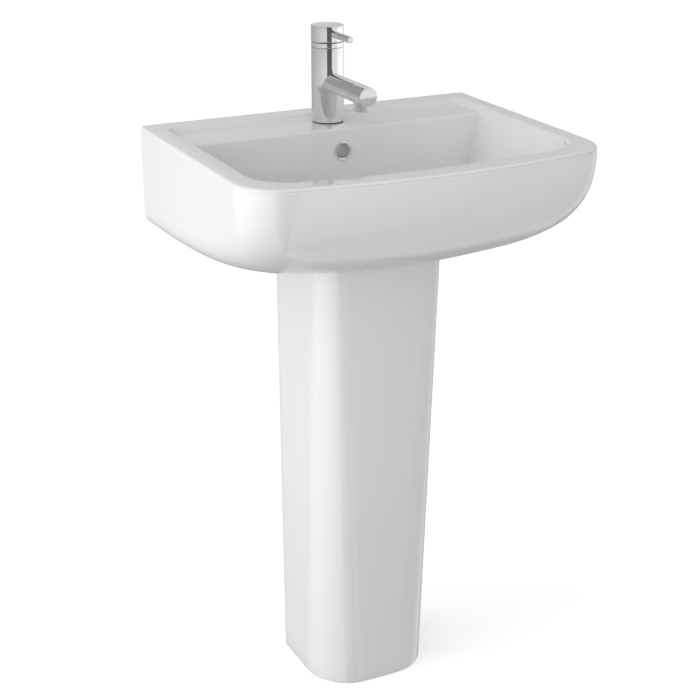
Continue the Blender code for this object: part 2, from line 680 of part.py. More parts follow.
def make_handle(swivel, lift):
    """The stem turns with the handle, and the cap and its pin also tilt on the cross pin."""
    stem_foot = CARTRIDGE_NECK_TOP - 0.008 + GAP
    stem = turned("swivel_stem", [
        (0, stem_foot), (0.0087, stem_foot), (0.0087, CARTRIDGE_NECK_TOP + 0.001),
        (0, CARTRIDGE_NECK_TOP + 0.001)], TAP_AXIS, steps=20)
    half = STEM_HALF_WIDTH
    arm_half = CROSS_PIN_RADIUS + 0.0020
    post = box("stem_post", (-half, TAP_Y - 0.008, above_ledge(CARTRIDGE_NECK_TOP)),
               (half, TAP_Y + 0.003, PIVOT.z + arm_half))
    combine(stem, post, "UNION")
    arm = box("stem_arm", (-half, TAP_Y - 0.007, PIVOT.z - arm_half),
              (half, PIVOT.y + CROSS_PIN_RADIUS + 0.0013, PIVOT.z + arm_half - GAP))
    combine(stem, arm, "UNION")
    sideways = (0, math.pi / 2, 0)
    combine(stem, cylinder("stem_pin_hole", CROSS_PIN_RADIUS + GAP, -0.03, 0.03, PIVOT,
                           sideways, 14))
    finished(stem, BRASS)
    pin = cylinder("lift_pin", CROSS_PIN_RADIUS, -0.0125, 0.0125, PIVOT, sideways, 14)
    finished(pin, STEEL)

    cap = turned("handle_cap", [
        (0, CAP_TOP), (TAP_RADIUS - 0.001, CAP_TOP), (TAP_RADIUS, CAP_TOP - 0.001),
        (TAP_RADIUS, CAP_BOTTOM + 0.0003), (TAP_RADIUS - 0.0003, CAP_BOTTOM),
        (CAP_BORE, CAP_BOTTOM), (CAP_BORE, CAP_TOP - CAP_ROOF), (0, CAP_TOP - CAP_ROOF)],
        TAP_AXIS, steps=FINE_STEPS)
    for side in (-1, 1):
        near, far = sorted((side * (half + 0.0008), side * (half + 0.0048)))
        cheek = box(f"cap_cheek_{side}", (near, PIVOT.y - 0.005, PIVOT.z - 0.005),
                    (far, PIVOT.y + 0.005, above_ledge(CAP_TOP - CAP_ROOF / 2)))
        combine(cap, cheek, "UNION")
    combine(cap, cylinder("cap_pin_hole", CROSS_PIN_RADIUS + GAP, -0.014, 0.014, PIVOT,
                          sideways, 14))
    grip = Vector((0, TAP_Y, PIVOT_Z + LEVER_PIN_ABOVE_PIVOT))
    forward = (math.pi / 2, 0, 0)
    root = TAP_RADIUS - 0.0025
    combine(cap, cylinder("grip_socket", LEVER_PIN_RADIUS + GAP, root - GAP, 0.05, grip,
                          forward, 20))
    finished(cap, CHROME)
    end = root + LEVER_PIN_LENGTH
    lever = turned("lever_pin", [
        (0, root), (LEVER_PIN_RADIUS, root), (LEVER_PIN_RADIUS, end - 0.0006),
        (LEVER_PIN_RADIUS - 0.0006, end), (0, end)], grip, forward, 20)
    finished(lever, CHROME)
    hang(stem, swivel)
    hang(pin, swivel)
    hang(cap, lift)
    hang(lever, lift)


def smooth_route(points, steps):
    """Points along a smooth curve through a few chosen ones."""
    route = []
    padded = [points[0] * 2 - points[1], *points, points[-1] * 2 - points[-2]]
    for a, b, c, d in zip(padded, padded[1:], padded[2:], padded[3:]):
        for i in range(steps):
            t = i / steps
            route.append(0.5 * (2 * b + (c - a) * t + (2 * a - 5 * b + 4 * c - d) * t**2
                                + (3 * b - a - 3 * c + d) * t**3))
    return [*route, points[-1]]


def piped(name, route, inner, outer, steps=10):
    """A hollow pipe along a route that stays near one plane."""
    rings_out, rings_in = [], []
    for i, point in enumerate(route):
        ahead = route[min(i + 1, len(route) - 1)] - route[max(i - 1, 0)]
        side = ahead.cross(Vector((0, 1, 0))).normalized()
        other = ahead.cross(side).normalized()
        for ring, radius in ((rings_out, outer), (rings_in, inner)):
            ring.append([point + radius * (side * math.cos(2 * math.pi * k / steps)
                                           + other * math.sin(2 * math.pi * k / steps))
                         for k in range(steps)])
    return lofted(name, rings_out + list(reversed(rings_in)), joined_ends=True)


def make_tap_fixings():
    """Seal under the tap, stud, horseshoe washers, long nut and the two copper tails."""
    finished(tube("tap_base_seal", TAP_HOLE_RADIUS, TAP_RADIUS - 0.0008, GAP,
                  TAP_SEAL_THICKNESS + GAP, TAP_AXIS), RUBBER)
    stud_place = TAP_AXIS + Vector((0, 0.009, 0))
    stud = cylinder("fixing_stud", STUD_RADIUS, 0.015 - STUD_LENGTH, 0.015, stud_place, steps=16)
    finished(stud, STEEL)
    under = -LEDGE_THICKNESS - GAP
    layers = (("horseshoe_rubber", under - 0.003, under, RUBBER),
              ("horseshoe_plate", under - 0.0058, under - 0.0033, STEEL))
    for name, low, high, finish in layers:
        plate = cylinder(name, CLAMP_RADIUS, low, high, TAP_AXIS)
        slot_half = TAIL_SPACING / 2 + TAIL_RADIUS + 0.001
        combine(plate, box(name + "_slot", (-slot_half, TAP_Y - 0.05, LEDGE_Z + low - PAST),
                           (slot_half, TAP_Y + 0.001, LEDGE_Z + high + PAST)))
        combine(plate, cylinder(name + "_hole", STUD_RADIUS + GAP, low - PAST, high + PAST,
                                stud_place, steps=14))
        finished(plate, finish)
    nut = hexagon_nut("fixing_nut", 0.013, STUD_RADIUS + GAP, under - 0.0311, under - 0.0061,
                      stud_place)
    finished(nut, BRASS)
    for side, label in ((-1, "left"), (1, "right")):
        start = TAP_AXIS + Vector((side * TAIL_SPACING / 2, -0.006, 0.018))
        wide = side * TAIL_SPREAD / 2
        stops = [start, start - Vector((0, 0, 0.055)), start - Vector((0, 0, 0.080)),
                 Vector((wide, start.y, start.z - 0.150)), Vector((wide, start.y, start.z - 0.18)),
                 Vector((wide, start.y, start.z - TAIL_LENGTH))]
        tail = piped(f"copper_tail_{label}", smooth_route(stops, 3), TAIL_RADIUS - TAIL_WALL,
                     TAIL_RADIUS)
        finished(tail, COPPER)


# ---- overflow, waste and trap -------------------------------------------------------------


def overflow_place():
    """The overflow's centre, on the bowl's rear wall."""
    return Vector((0, out(rear_wall_out(OVERFLOW_DROP)), down(OVERFLOW_DROP)))


def make_overflow_ring():
    """A flanged chrome ring pressed into the overflow hole, level with the bowl's rear wall."""
    ring = turned("overflow_ring", [
        (OVERFLOW_BORE, -OVERFLOW_SLEEVE_DEPTH), (OVERFLOW_SLEEVE, -OVERFLOW_SLEEVE_DEPTH),
        (OVERFLOW_SLEEVE, GAP),
        (OVERFLOW_RING_RADIUS, GAP), (OVERFLOW_RING_RADIUS, GAP + 0.0006),
        (OVERFLOW_RING_RADIUS - 0.0015, 0.0022), (OVERFLOW_BORE + 0.0012, 0.0022),
        (OVERFLOW_BORE, 0.0010)],
        overflow_place(), OVERFLOW_TURN, ring=True)
    return finished(ring, CHROME)


def make_waste(plug_axis):
    """Flanged waste with overflow slots, its seals and nut, and the push-button plug."""
    web = -0.032
    body = turned("waste_body", [
        (0.0065, web), (0.0065, web - 0.004), (WASTE_BORE, web - 0.004),
        (WASTE_BORE, -WASTE_LENGTH), (WASTE_THREAD_RADIUS, -WASTE_LENGTH),
        (WASTE_THREAD_RADIUS, -0.0027), (WASTE_FLANGE_RADIUS, -0.0020),
        (WASTE_FLANGE_RADIUS, -0.0005), (WASTE_FLANGE_RADIUS - 0.001, 0),
        (0.0225, 0), (WASTE_BORE + 0.0015, -0.003), (WASTE_BORE, -0.006), (WASTE_BORE, web)],
        WASTE_AXIS, ring=True)
    for number in range(4):
        angle = math.pi / 2 * (number + 0.5)
        place = WASTE_AXIS + Vector((math.cos(angle), math.sin(angle), 0)) * 0.0118
        combine(body, cylinder(f"web_hole_{number}", 0.0040, web - 0.01, web + 0.005, place,
                               steps=12))
    slot_height = DUCT_DROP - WASTE_DROP
    for number, turn in enumerate(((math.pi / 2, 0, 0), (0, math.pi / 2, 0))):
        combine(body, cylinder(f"overflow_slot_{number}", 0.0040, -0.04, 0.04,
                               WASTE_AXIS - Vector((0, 0, slot_height)), turn, 12))
    finished(body, CHROME)
    finished(tube("waste_top_seal", WASTE_THREAD_RADIUS + GAP, 0.0315, -WASTE_RECESS + GAP,
                  -0.0030, WASTE_AXIS), WHITE_PLASTIC)
    below = WASTE_DROP - SPOT_FACE_DROP - GAP
    finished(tube("waste_washer", WASTE_THREAD_RADIUS + GAP, 0.0290, below - 0.003, below,
                  WASTE_AXIS), RUBBER)
    finished(hexagon_nut("waste_back_nut", 0.050, WASTE_THREAD_RADIUS + GAP, below - 0.0113,
                         below - 0.0033, WASTE_AXIS), BRASS)
    latch = turned("latch_housing", [
        (0.0039, web - 0.006), (0.0062, web - 0.006), (0.0062, web + GAP), (0.0076, web + GAP),
        (0.0076, web + 0.008), (0.0039, web + 0.008)], WASTE_AXIS, steps=18, ring=True)
    finished(latch, WHITE_PLASTIC)

    raised = WASTE_AXIS + Vector((0, 0, PLUG_TRAVEL))
    plug = turned("plug_cap", [
        (0, 0.0023), (PLUG_RADIUS - 0.0010, 0.0023), (PLUG_RADIUS, 0.0032),
        (PLUG_RADIUS - 0.0006, 0.0044), (PLUG_RADIUS * 0.75, 0.0066), (PLUG_RADIUS * 0.4, 0.0080),
        (0, 0.0085)], raised)
    finished(plug, CHROME)
    seal = tube("plug_seal", 0.0150, PLUG_RADIUS - 0.002, 0.0004, 0.0020, raised)
    finished(seal, RUBBER)
    stem = cylinder("plug_stem", 0.0036, web - 0.008, 0.0020, raised, steps=14)
    finished(stem, BRASS)
    for piece in (plug, seal, stem):
        hang(piece, plug_axis)


def make_trap():
    """A bottle trap below the waste and its outlet pipe to the wall."""
    def below(drop):
        return WASTE_DROP - drop

    waste_end = -WASTE_LENGTH
    collar_top = waste_end - GAP
    top = below(TRAP_TOP_DROP)
    seam = below(TRAP_SEAM_DROP)
    bottom = below(TRAP_BOTTOM_DROP)
    outlet = below(TRAP_OUTLET_DROP)
    dip = (0.0135, 0.0155)
    inside = TRAP_BODY_RADIUS - 0.003
    body = turned("trap_body", [
        (dip[0], bottom + 0.022), (dip[1], bottom + 0.022), (dip[1], top - 0.003),
        (inside, top - 0.003), (inside, seam), (TRAP_BODY_RADIUS, seam),
        (TRAP_BODY_RADIUS, top - 0.002), (TRAP_BODY_RADIUS - 0.002, top),
        (WASTE_THREAD_RADIUS, top), (WASTE_THREAD_RADIUS, collar_top), (dip[0], collar_top)],
        WASTE_AXIS, ring=True)
    backward = (-math.pi / 2, 0, 0)
    branch_place = WASTE_AXIS + Vector((0, 0, outlet))
    branch_end = TRAP_BODY_RADIUS + 0.026
    combine(body, cylinder("trap_branch", WASTE_THREAD_RADIUS, TRAP_BODY_RADIUS - 0.004,
                           branch_end, branch_place, backward, 24), "UNION")
    combine(body, cylinder("trap_branch_bore", PIPE_RADIUS + GAP, 0.020, branch_end + PAST,
                           branch_place, backward, 24))
    finished(body, WHITE_PLASTIC)

    nut_low = collar_top - 0.011
    finished(tube("trap_inlet_nut", WASTE_THREAD_RADIUS + GAP, 0.0265, nut_low, nut_low + 0.020,
                  WASTE_AXIS), WHITE_PLASTIC)
    lip = TRAP_CUP_RADIUS - 0.003
    cup = turned("trap_cup", [
        (0, bottom), (TRAP_CUP_RADIUS - 0.010, bottom), (TRAP_CUP_RADIUS - 0.003, bottom + 0.006),
        (TRAP_CUP_RADIUS, seam - 0.010), (TRAP_CUP_RADIUS, seam + 0.012), (lip, seam + 0.012),
        (lip, seam - 0.0026), (inside - 0.001, seam - 0.0026), (inside - 0.003, bottom + 0.008),
        (inside - 0.009, bottom + 0.003), (0, bottom + 0.003)], WASTE_AXIS)
    finished(cup, WHITE_PLASTIC)
    finished(tube("trap_cup_seal", inside, TRAP_BODY_RADIUS, seam - 0.0023, seam - GAP,
                  WASTE_AXIS), RUBBER)
    nut_place = branch_place
    finished(tube("trap_outlet_nut", WASTE_THREAD_RADIUS + GAP, 0.0265, branch_end - 0.014,
                  branch_end + 0.004, nut_place, backward), WHITE_PLASTIC)
    pipe_start = TRAP_BODY_RADIUS + 0.006
    finished(tube("outlet_pipe", PIPE_BORE, PIPE_RADIUS, pipe_start, WASTE_OUT, branch_place,
                  backward, 24), WHITE_PLASTIC)
    flange = turned("outlet_wall_flange", [
        (PIPE_RADIUS + GAP, WASTE_OUT - 0.008), (PIPE_RADIUS + 0.003, WASTE_OUT - 0.008),
        (0.035, WASTE_OUT - 0.002), (0.035, WASTE_OUT), (PIPE_RADIUS + GAP, WASTE_OUT)],
        branch_place, backward, 24, ring=True)
    finished(flange, WHITE_PLASTIC)


def main():
    for obj in list(bpy.data.objects):
        bpy.data.objects.remove(obj, do_unlink=True)
    swivel = axis_empty("lever_swivel_axis", TAP_AXIS)
    lift = axis_empty("lever_lift_axis", PIVOT, swivel)
    plug_axis = axis_empty("plug_axis", WASTE_AXIS)
    make_basin()
    make_pedestal()
    make_floor_screws()
    make_wall_fixings()
    make_tap_body()
    make_spout()
    make_cartridge()
    make_handle(swivel, lift)
    make_tap_fixings()
    make_overflow_ring()
    make_waste(plug_axis)
    make_trap()


main()
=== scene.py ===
"""The finished look of a pedestal wash basin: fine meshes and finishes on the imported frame.

Metres. +X is to the right seen from the front, +Y points to the wall and +Z is up. Distances
called "out" are measured from the wall plane, and "drop" is measured down from the rim's top.
"""

import json
import math

import bmesh
import bpy
from mathutils import Euler, Matrix, Vector

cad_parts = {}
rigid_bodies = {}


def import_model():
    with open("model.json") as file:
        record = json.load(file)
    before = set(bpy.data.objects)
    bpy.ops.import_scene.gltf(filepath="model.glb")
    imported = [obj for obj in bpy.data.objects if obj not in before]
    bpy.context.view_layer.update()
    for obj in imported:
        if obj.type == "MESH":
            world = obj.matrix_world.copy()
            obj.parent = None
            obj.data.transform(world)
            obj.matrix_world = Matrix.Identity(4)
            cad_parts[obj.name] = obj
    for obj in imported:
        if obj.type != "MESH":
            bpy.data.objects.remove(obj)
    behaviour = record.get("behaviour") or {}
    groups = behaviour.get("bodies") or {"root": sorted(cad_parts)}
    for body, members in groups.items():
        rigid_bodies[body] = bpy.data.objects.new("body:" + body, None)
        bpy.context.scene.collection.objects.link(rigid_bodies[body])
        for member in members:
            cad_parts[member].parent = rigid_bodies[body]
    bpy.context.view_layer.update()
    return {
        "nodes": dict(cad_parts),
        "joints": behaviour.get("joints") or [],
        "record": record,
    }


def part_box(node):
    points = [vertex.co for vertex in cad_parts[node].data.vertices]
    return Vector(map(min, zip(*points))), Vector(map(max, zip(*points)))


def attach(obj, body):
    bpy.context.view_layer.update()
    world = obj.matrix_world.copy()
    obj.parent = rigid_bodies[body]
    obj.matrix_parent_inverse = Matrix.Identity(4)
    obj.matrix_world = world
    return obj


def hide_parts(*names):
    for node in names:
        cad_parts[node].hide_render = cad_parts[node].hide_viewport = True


for startup in list(bpy.data.objects):
    bpy.data.objects.remove(startup, do_unlink=True)
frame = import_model()

# ---- sizes taken from the frame -----------------------------------------------------------


def middle(node):
    """The middle of a node's box."""
    low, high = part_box(node)
    return (low + high) / 2


def radius_of(node):
    """Half the width of a round upright piece."""
    low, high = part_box(node)
    return (high.x - low.x) / 2


BASIN_LOW, BASIN_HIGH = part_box("basin")
HALF_WIDTH, WALL_Y, RIM_Z = BASIN_HIGH
BASIN_OUT = WALL_Y - BASIN_LOW.y
TAP_Y = middle("tap_body").y
TAP_RADIUS = radius_of("tap_body")
SPOUT_RADIUS = radius_of("tap_spout")
SPOUT_Z = middle("tap_spout").z
WASTE_LOW, WASTE_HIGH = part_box("waste_body")
WASTE_Y = middle("waste_body").y
WASTE_Z = WASTE_HIGH.z
WASTE_FLANGE_RADIUS = radius_of("waste_body")
PEDESTAL_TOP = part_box("pedestal")[1].z

GAP = 0.0002  # round a piece that sits in a hole
HAIRLINE = 0.00015  # round a piece whose seam shows
WELD = 2e-6  # points nearer than this are one
PAST = 0.02  # how far a cutter reaches beyond what it cuts
RIDGE_SHARE = 0.42  # a thread's depth for each unit of its pitch
FORWARD = (math.pi / 2, 0, 0)
BACKWARD = (-math.pi / 2, 0, 0)
SIDEWAYS = (0, math.pi / 2, 0)

# ---- the ceramic's own sizes --------------------------------------------------------------

FRONT_BOW = 0.032
SIDE_DEPTH = BASIN_OUT - FRONT_BOW
HULL_DEPTH_FRONT = 0.160
HULL_DEPTH_REAR = 0.150
HULL_CORNER_RADIUS = 0.050
BASE_HALF_WIDTH = 0.060
BASE_OUT = 0.293
SOFT_SECTION = 2.2
BOX_SECTION = 23.0
SECTION_GROWTH = 1.8
SIDE_EDGE_ROUND = 0.0068
FRONT_EDGE_ROUND = 0.0036
GROOVE_DEPTH = 0.0011
GROOVE_HEIGHT = 0.0028

SHELL_WALL = 0.010
BASE_WALL = 0.016
REAR_PANEL = 0.014
LEDGE_THICKNESS = 0.0155

RIM_WIDTH_SIDE = 0.033
LEDGE_DROP = 0.0065
LEDGE_FALL = 0.0003
LEDGE_START = 0.031
LEDGE_CORNER = 0.016
LEDGE_CREST_ROUND = 0.004
LEDGE_HOLLOW_ROUND = 0.012
MOUTH_ROUND_SIDE = 0.006
MOUTH_ROUND_FRONT = 0.0028
MOUTH_ROUND_REAR = 0.0042
BOWL_REAR_OUT = 0.1165
BOWL_CORNER_FRONT = 0.050
BOWL_CORNER_REAR = 0.008
SIDE_DRAFT = math.radians(12.5)
REAR_DRAFT = math.radians(1.0)
FRONT_DRAFT = math.radians(14.0)
BOWL_EDGE_DROP = 0.0125
BOWL_WALL_DROP = 0.075
BOWL_FLOOR_DROP = 0.112
BOWL_FILLET = 0.042
WASTE_DROP = RIM_Z - WASTE_Z
WASTE_OUT = WALL_Y - WASTE_Y
BOWL_HALF = HALF_WIDTH - RIM_WIDTH_SIDE
BOWL_BOW = FRONT_BOW * (BOWL_HALF / HALF_WIDTH) ** 2
BOWL_SIDE_OUT = BASIN_OUT - RIM_WIDTH_SIDE - BOWL_BOW
LEDGE_Z = RIM_Z - LEDGE_DROP
POCKET_HALF = BOWL_HALF + MOUTH_ROUND_SIDE
POCKET_ROUNDS = LEDGE_CREST_ROUND + LEDGE_HOLLOW_ROUND
POCKET_TILT = math.acos(1 - LEDGE_DROP / POCKET_ROUNDS)
POCKET_REACH = POCKET_ROUNDS * math.sin(POCKET_TILT)
CORNER_BLEND = 0.030
WASTE_DISH = 0.012
FLOOR_TURN = 15.5

# ---- mesh helpers -------------------------------------------------------------------------


def out(distance):
    """The Y of a point that is this far out from the wall plane."""
    return WALL_Y - distance


def down(drop):
    """The Z of a point that is this far below the top of the rim."""
    return RIM_Z - drop


def piece_of(name, mesh, place=(0, 0, 0), turn=(0, 0, 0), sharp=32):
    """A bmesh as an object at the origin, its place in its mesh and its faces outward."""
    matrix = Matrix.Translation(Vector(place)) @ Euler(turn).to_matrix().to_4x4()
    bmesh.ops.transform(mesh, matrix=matrix, verts=mesh.verts)
    bmesh.ops.remove_doubles(mesh, verts=mesh.verts, dist=WELD)
    bmesh.ops.dissolve_degenerate(mesh, edges=mesh.edges, dist=1e-7)
    bmesh.ops.recalc_face_normals(mesh, faces=mesh.faces)
    data = bpy.data.meshes.new(name)
    mesh.to_mesh(data)
    mesh.free()
    obj = bpy.data.objects.new(name, data)
    bpy.context.scene.collection.objects.link(obj)
    return shaded(obj, sharp)


def shaded(obj, sharp=32):
    obj.data.shade_smooth()
    obj.data.set_sharp_from_angle(angle=math.radians(sharp))
    return obj


LEAST_BEND = math.radians(12)
MOST_OF_SIDE = 0.45


def softened(points, radius, steps=4, ring=False):
    """A profile with an arc at each corner, no larger than its two neighbours allow."""
    rounded = []
    count = len(points)
    for i, point in enumerate(points):
        here = Vector(point)
        if not ring and i in (0, count - 1):
            rounded.append(here)
            continue
        before = Vector(points[i - 1]) - here
        after = Vector(points[(i + 1) % count]) - here
        bend = math.pi - before.angle(after, math.pi)
        if bend < LEAST_BEND or min(before.length, after.length) < 1e-6:
            rounded.append(here)
            continue
        reach = min(radius * math.tan(bend / 2), MOST_OF_SIDE * before.length,
                    MOST_OF_SIDE * after.length)
        first = here + before.normalized() * reach
        last = here + after.normalized() * reach
        for k in range(steps + 1):
            t = k / steps
            rounded.append(first * (1 - t) ** 2 + here * 2 * t * (1 - t) + last * t**2)
    return [tuple(p) for p in rounded]


def lathed(name, profile, place=(0, 0, 0), turn=(0, 0, 0), steps=96, ring=False, soft=0.0004):
    """Turns (radius, height) points about Z, with softened corners."""
    mesh = bmesh.new()
    points = softened(profile, soft, ring=ring) if soft else profile
    verts = [mesh.verts.new((max(radius, 0), 0, height)) for radius, height in points]
    pairs = list(zip(verts, verts[1:]))
    if ring:
        pairs.append((verts[-1], verts[0]))
    edges = [mesh.edges.new(pair) for pair in pairs]
    bmesh.ops.spin(
        mesh, geom=verts + edges, cent=(0, 0, 0), axis=(0, 0, 1), angle=2 * math.pi,
        steps=steps, use_merge=True,
    )
    return piece_of(name, mesh, place, turn)


def rod(name, radius, low, high, place=(0, 0, 0), turn=(0, 0, 0), steps=48):
    """A plain round cutter."""
    profile = [(0, low), (radius, low), (radius, high), (0, high)]
    return lathed(name, profile, place, turn, steps, soft=0)


def block(name, low, high):
    mesh = bmesh.new()
    bmesh.ops.create_cube(mesh, size=1)
    low, high = Vector(low), Vector(high)
    bmesh.ops.scale(mesh, vec=high - low, verts=mesh.verts)
    return piece_of(name, mesh, (high + low) / 2)


def skinned(name, rings, flat_y=None, sharp=32):
    """Skins closed rings of points and caps both ends. The side flat at flat_y is one face."""
    mesh = bmesh.new()
    rows = [[mesh.verts.new(point) for point in ring] for ring in rings]
    for lower, upper in zip(rows, rows[1:]):
        for i in range(len(lower)):
            j = (i + 1) % len(lower)
            mesh.faces.new((lower[i], lower[j], upper[j], upper[i]))
    mesh.faces.new(rows[0])
    mesh.faces.new(rows[-1])
    if flat_y is not None:
        flat = [face for face in mesh.faces
                if all(abs(vert.co.y - flat_y) < 1e-6 for vert in face.verts)]
        bmesh.ops.delete(mesh, geom=flat, context="FACES")
        bmesh.ops.delete(mesh, geom=[v for v in mesh.verts if not v.link_faces], context="VERTS")
        bmesh.ops.remove_doubles(mesh, verts=mesh.verts, dist=WELD)
        edges = [edge for edge in mesh.edges if edge.is_boundary]
        bmesh.ops.holes_fill(mesh, edges=edges, sides=0)
    return piece_of(name, mesh, sharp=sharp)


def evaluated(obj):
    """Replaces an object's mesh by what its modifiers make of it."""
    graph = bpy.context.evaluated_depsgraph_get()
    data = bpy.data.meshes.new_from_object(obj.evaluated_get(graph))
    obj.modifiers.clear()
    obj.data = data
    data.name = obj.name
    return obj


def combined(target, *others, operation="DIFFERENCE"):
    """Cuts the helpers from the target, or joins them to it, and removes them."""
    for other in others:
        modifier = target.modifiers.new(other.name, "BOOLEAN")
        modifier.operation = operation
        modifier.object = other
    evaluated(target)
    for other in others:
        bpy.data.objects.remove(other, do_unlink=True)
    return target


def sealed(obj, sharp):
    """Welds what the cuts left a hair apart, and closes the slits that stay."""
    mesh = bmesh.new()
    mesh.from_mesh(obj.data)
    bmesh.ops.remove_doubles(mesh, verts=mesh.verts, dist=WELD)
    bmesh.ops.dissolve_degenerate(mesh, edges=mesh.edges, dist=WELD)
    slits = [edge for edge in mesh.edges if edge.is_boundary]
    bmesh.ops.holes_fill(mesh, edges=slits, sides=0)
    mesh.to_mesh(obj.data)
    mesh.free()
    return shaded(obj, sharp)


def bevelled(obj, width, segments=3, limit=50):
    modifier = obj.modifiers.new("edges", "BEVEL")
    modifier.width = width
    modifier.segments = segments
    modifier.limit_method = "ANGLE"
    modifier.angle_limit = math.radians(limit)
    modifier.use_clamp_overlap = True
    return shaded(evaluated(obj))


# ---- basin: columns of points that every ring shares --------------------------------------

SIDE_STEPS = 12
ARC_STEPS = 16
BOW_STEPS = 30
CORNER_STEPS = 6
LEDGE_STEPS = 10
TURN_STEPS = 8
REAR_STEPS = 16
LEDGE_RUN_IN = 0.014
BESIDE_SHARE = 0.22  # of the bowl's rear wall, for the points that pair with the ledge's side
TURN_SHARE = 0.08  # and for those that pair with its corner


def fronted(half, rear, side, bow, radius):
    """(x, out) from the rear left, round the bowed front, to the rear right."""
    left = []
    for i in range(SIDE_STEPS):
        left.append((-half, rear + (side - radius - rear) * i / SIDE_STEPS))
    for i in range(ARC_STEPS + 1):
        angle = math.pi / 2 * i / ARC_STEPS
        x = -half + radius * (1 - math.cos(angle))
        left.append((x, side + bow * (1 - (x / half) ** 2) - radius * (1 - math.sin(angle))))
    straight = half - radius
    front = []
    for i in range(1, BOW_STEPS):
        x = -straight + 2 * straight * i / BOW_STEPS
        front.append((x, side + bow * (1 - (x / half) ** 2)))
    return left + front + [(-x, y) for x, y in reversed(left)]


def quarter(share):
    """How far an arc is from its two tangents, at a share of a quarter turn."""
    angle = math.pi / 2 * share
    return 1 - math.cos(angle), 1 - math.sin(angle)


def mirrored(right):
    """A rear stretch from its right half, whose last point lies on the middle line."""
    return right + [(-x, y) for x, y in reversed(right[:-1])]


def shares(count, first=1):
    """Even fractions that end at 1."""
    return [i / count for i in range(first, count + 1)]


def mouth_rear(half, rear, corner):
    """The bowl's tight rear corner, then its rear wall, from right to middle."""
    points = [(half - corner * inward, rear + corner * ahead)
              for inward, ahead in map(quarter, shares(CORNER_STEPS))]
    width = half - corner
    turn = 1 - BESIDE_SHARE
    points += [(width * (1 - BESIDE_SHARE * share), rear) for share in shares(LEDGE_STEPS)]
    points += [(width * (turn - TURN_SHARE * share), rear) for share in shares(TURN_STEPS)]
    width *= turn - TURN_SHARE
    return points + [(width * (1 - share), rear) for share in shares(REAR_STEPS)]


def ledge_rear(half):
    """The ledge's outer boundary beside and behind the tap, from right to middle."""
    start = BOWL_REAR_OUT + BOWL_CORNER_REAR
    near = start - LEDGE_RUN_IN
    turn = LEDGE_START + LEDGE_CORNER
    points = [(half, start + (near - start) * share) for share in shares(CORNER_STEPS)]
    points += [(half, near + (turn - near) * share) for share in shares(LEDGE_STEPS)]
    points += [(half - LEDGE_CORNER * inward, LEDGE_START + LEDGE_CORNER * ahead)
               for inward, ahead in map(quarter, shares(TURN_STEPS))]
    width = half - LEDGE_CORNER
    return points + [(width * (1 - share), LEDGE_START) for share in shares(REAR_STEPS)]


def hull_rear(half, ledge):
    """The hull's rear corner and rear edge, level with the ledge's boundary points."""
    points = [(half, y) for _, y in ledge[:CORNER_STEPS + LEDGE_STEPS]]
    turn = points[-1][1]
    first = TURN_STEPS // 2
    points += [(half, turn * (1 - share)) for share in shares(first)]
    inner = ledge[CORNER_STEPS + LEDGE_STEPS + TURN_STEPS - 1][0]
    points += [(half + (inner - half) * share, 0) for share in shares(TURN_STEPS - first)]
    return points + [(x, 0) for x, _ in ledge[-REAR_STEPS:]]


def outward(ring):
    """The outward direction at each point of a closed ring that runs from left to front."""
    normals = []
    for i in range(len(ring)):
        ahead = Vector(ring[(i + 1) % len(ring)]) - Vector(ring[i - 1])
        normals.append(Vector((-ahead.y, ahead.x)).normalized())
    return normals


def blend_over_front(x, y, half, side, bow, side_value, front_value):
    """One value beside, another at the front, changing over the corner arc."""
    front_at = side + bow * (1 - (x / half) ** 2)
    share = min(1, max(0, 1 - (front_at - y) / CORNER_BLEND))
    return side_value + (front_value - side_value) * share * share * (3 - 2 * share)


def hull_outline(inset):
    """The basin's outline at the rim, or a smaller one inside it."""
    half = HALF_WIDTH - inset
    join = BOWL_REAR_OUT + BOWL_CORNER_REAR
    front = fronted(half, join, SIDE_DEPTH - inset, FRONT_BOW, HULL_CORNER_RADIUS - inset)
    return front + mirrored(hull_rear(half, ledge_rear(BOWL_HALF)))


def section_ring(outline, angle, starts, rear_out, base_inset):
    """One level of the hull: soft at the front and nearly square at the wall."""
    ring = []
    for (x, y), start in zip(outline, starts):
        y = max(y, rear_out)
        to_wall = 1 - y / BASIN_OUT
        power = SOFT_SECTION + (BOX_SECTION - SOFT_SECTION) * to_wall**SECTION_GROWTH
        size = (math.cos(angle) ** power + math.sin(angle) ** power) ** (-1 / power)
        across, along = size * math.cos(angle), size * math.sin(angle)
        base = HULL_DEPTH_FRONT + (HULL_DEPTH_REAR - HULL_DEPTH_FRONT) * to_wall - base_inset
        base_x = x * BASE_HALF_WIDTH / HALF_WIDTH
        base_y = rear_out + (y - rear_out) * BASE_OUT / BASIN_OUT
        ring.append((base_x + (x - base_x) * across, out(base_y + (y - base_y) * across),
                     down(start + (base - start) * along)))
    return ring


def section_angles(steps):
    """From straight down to level, closest together half way round."""
    turns = [1 - 2 * i / steps for i in range(steps + 1)]
    return [math.pi / 4 * (1 + math.copysign(abs(turn) ** 1.5, turn)) for turn in turns]


def pocket_height(x, y):
    """How far below the rim the ledge's S-shaped edge lies at this place."""
    side, rear = POCKET_HALF - abs(x), y - LEDGE_START
    reach = min(side, rear)
    if max(side, rear) < LEDGE_CORNER:
        reach = LEDGE_CORNER - math.hypot(LEDGE_CORNER - side, LEDGE_CORNER - rear)
    reach = min(max(reach, 0), POCKET_REACH)
    if reach < LEDGE_CREST_ROUND * math.sin(POCKET_TILT):
        return LEDGE_CREST_ROUND - math.sqrt(LEDGE_CREST_ROUND**2 - reach**2)
    rest = POCKET_REACH - reach
    return LEDGE_DROP - (LEDGE_HOLLOW_ROUND - math.sqrt(LEDGE_HOLLOW_ROUND**2 - rest**2))


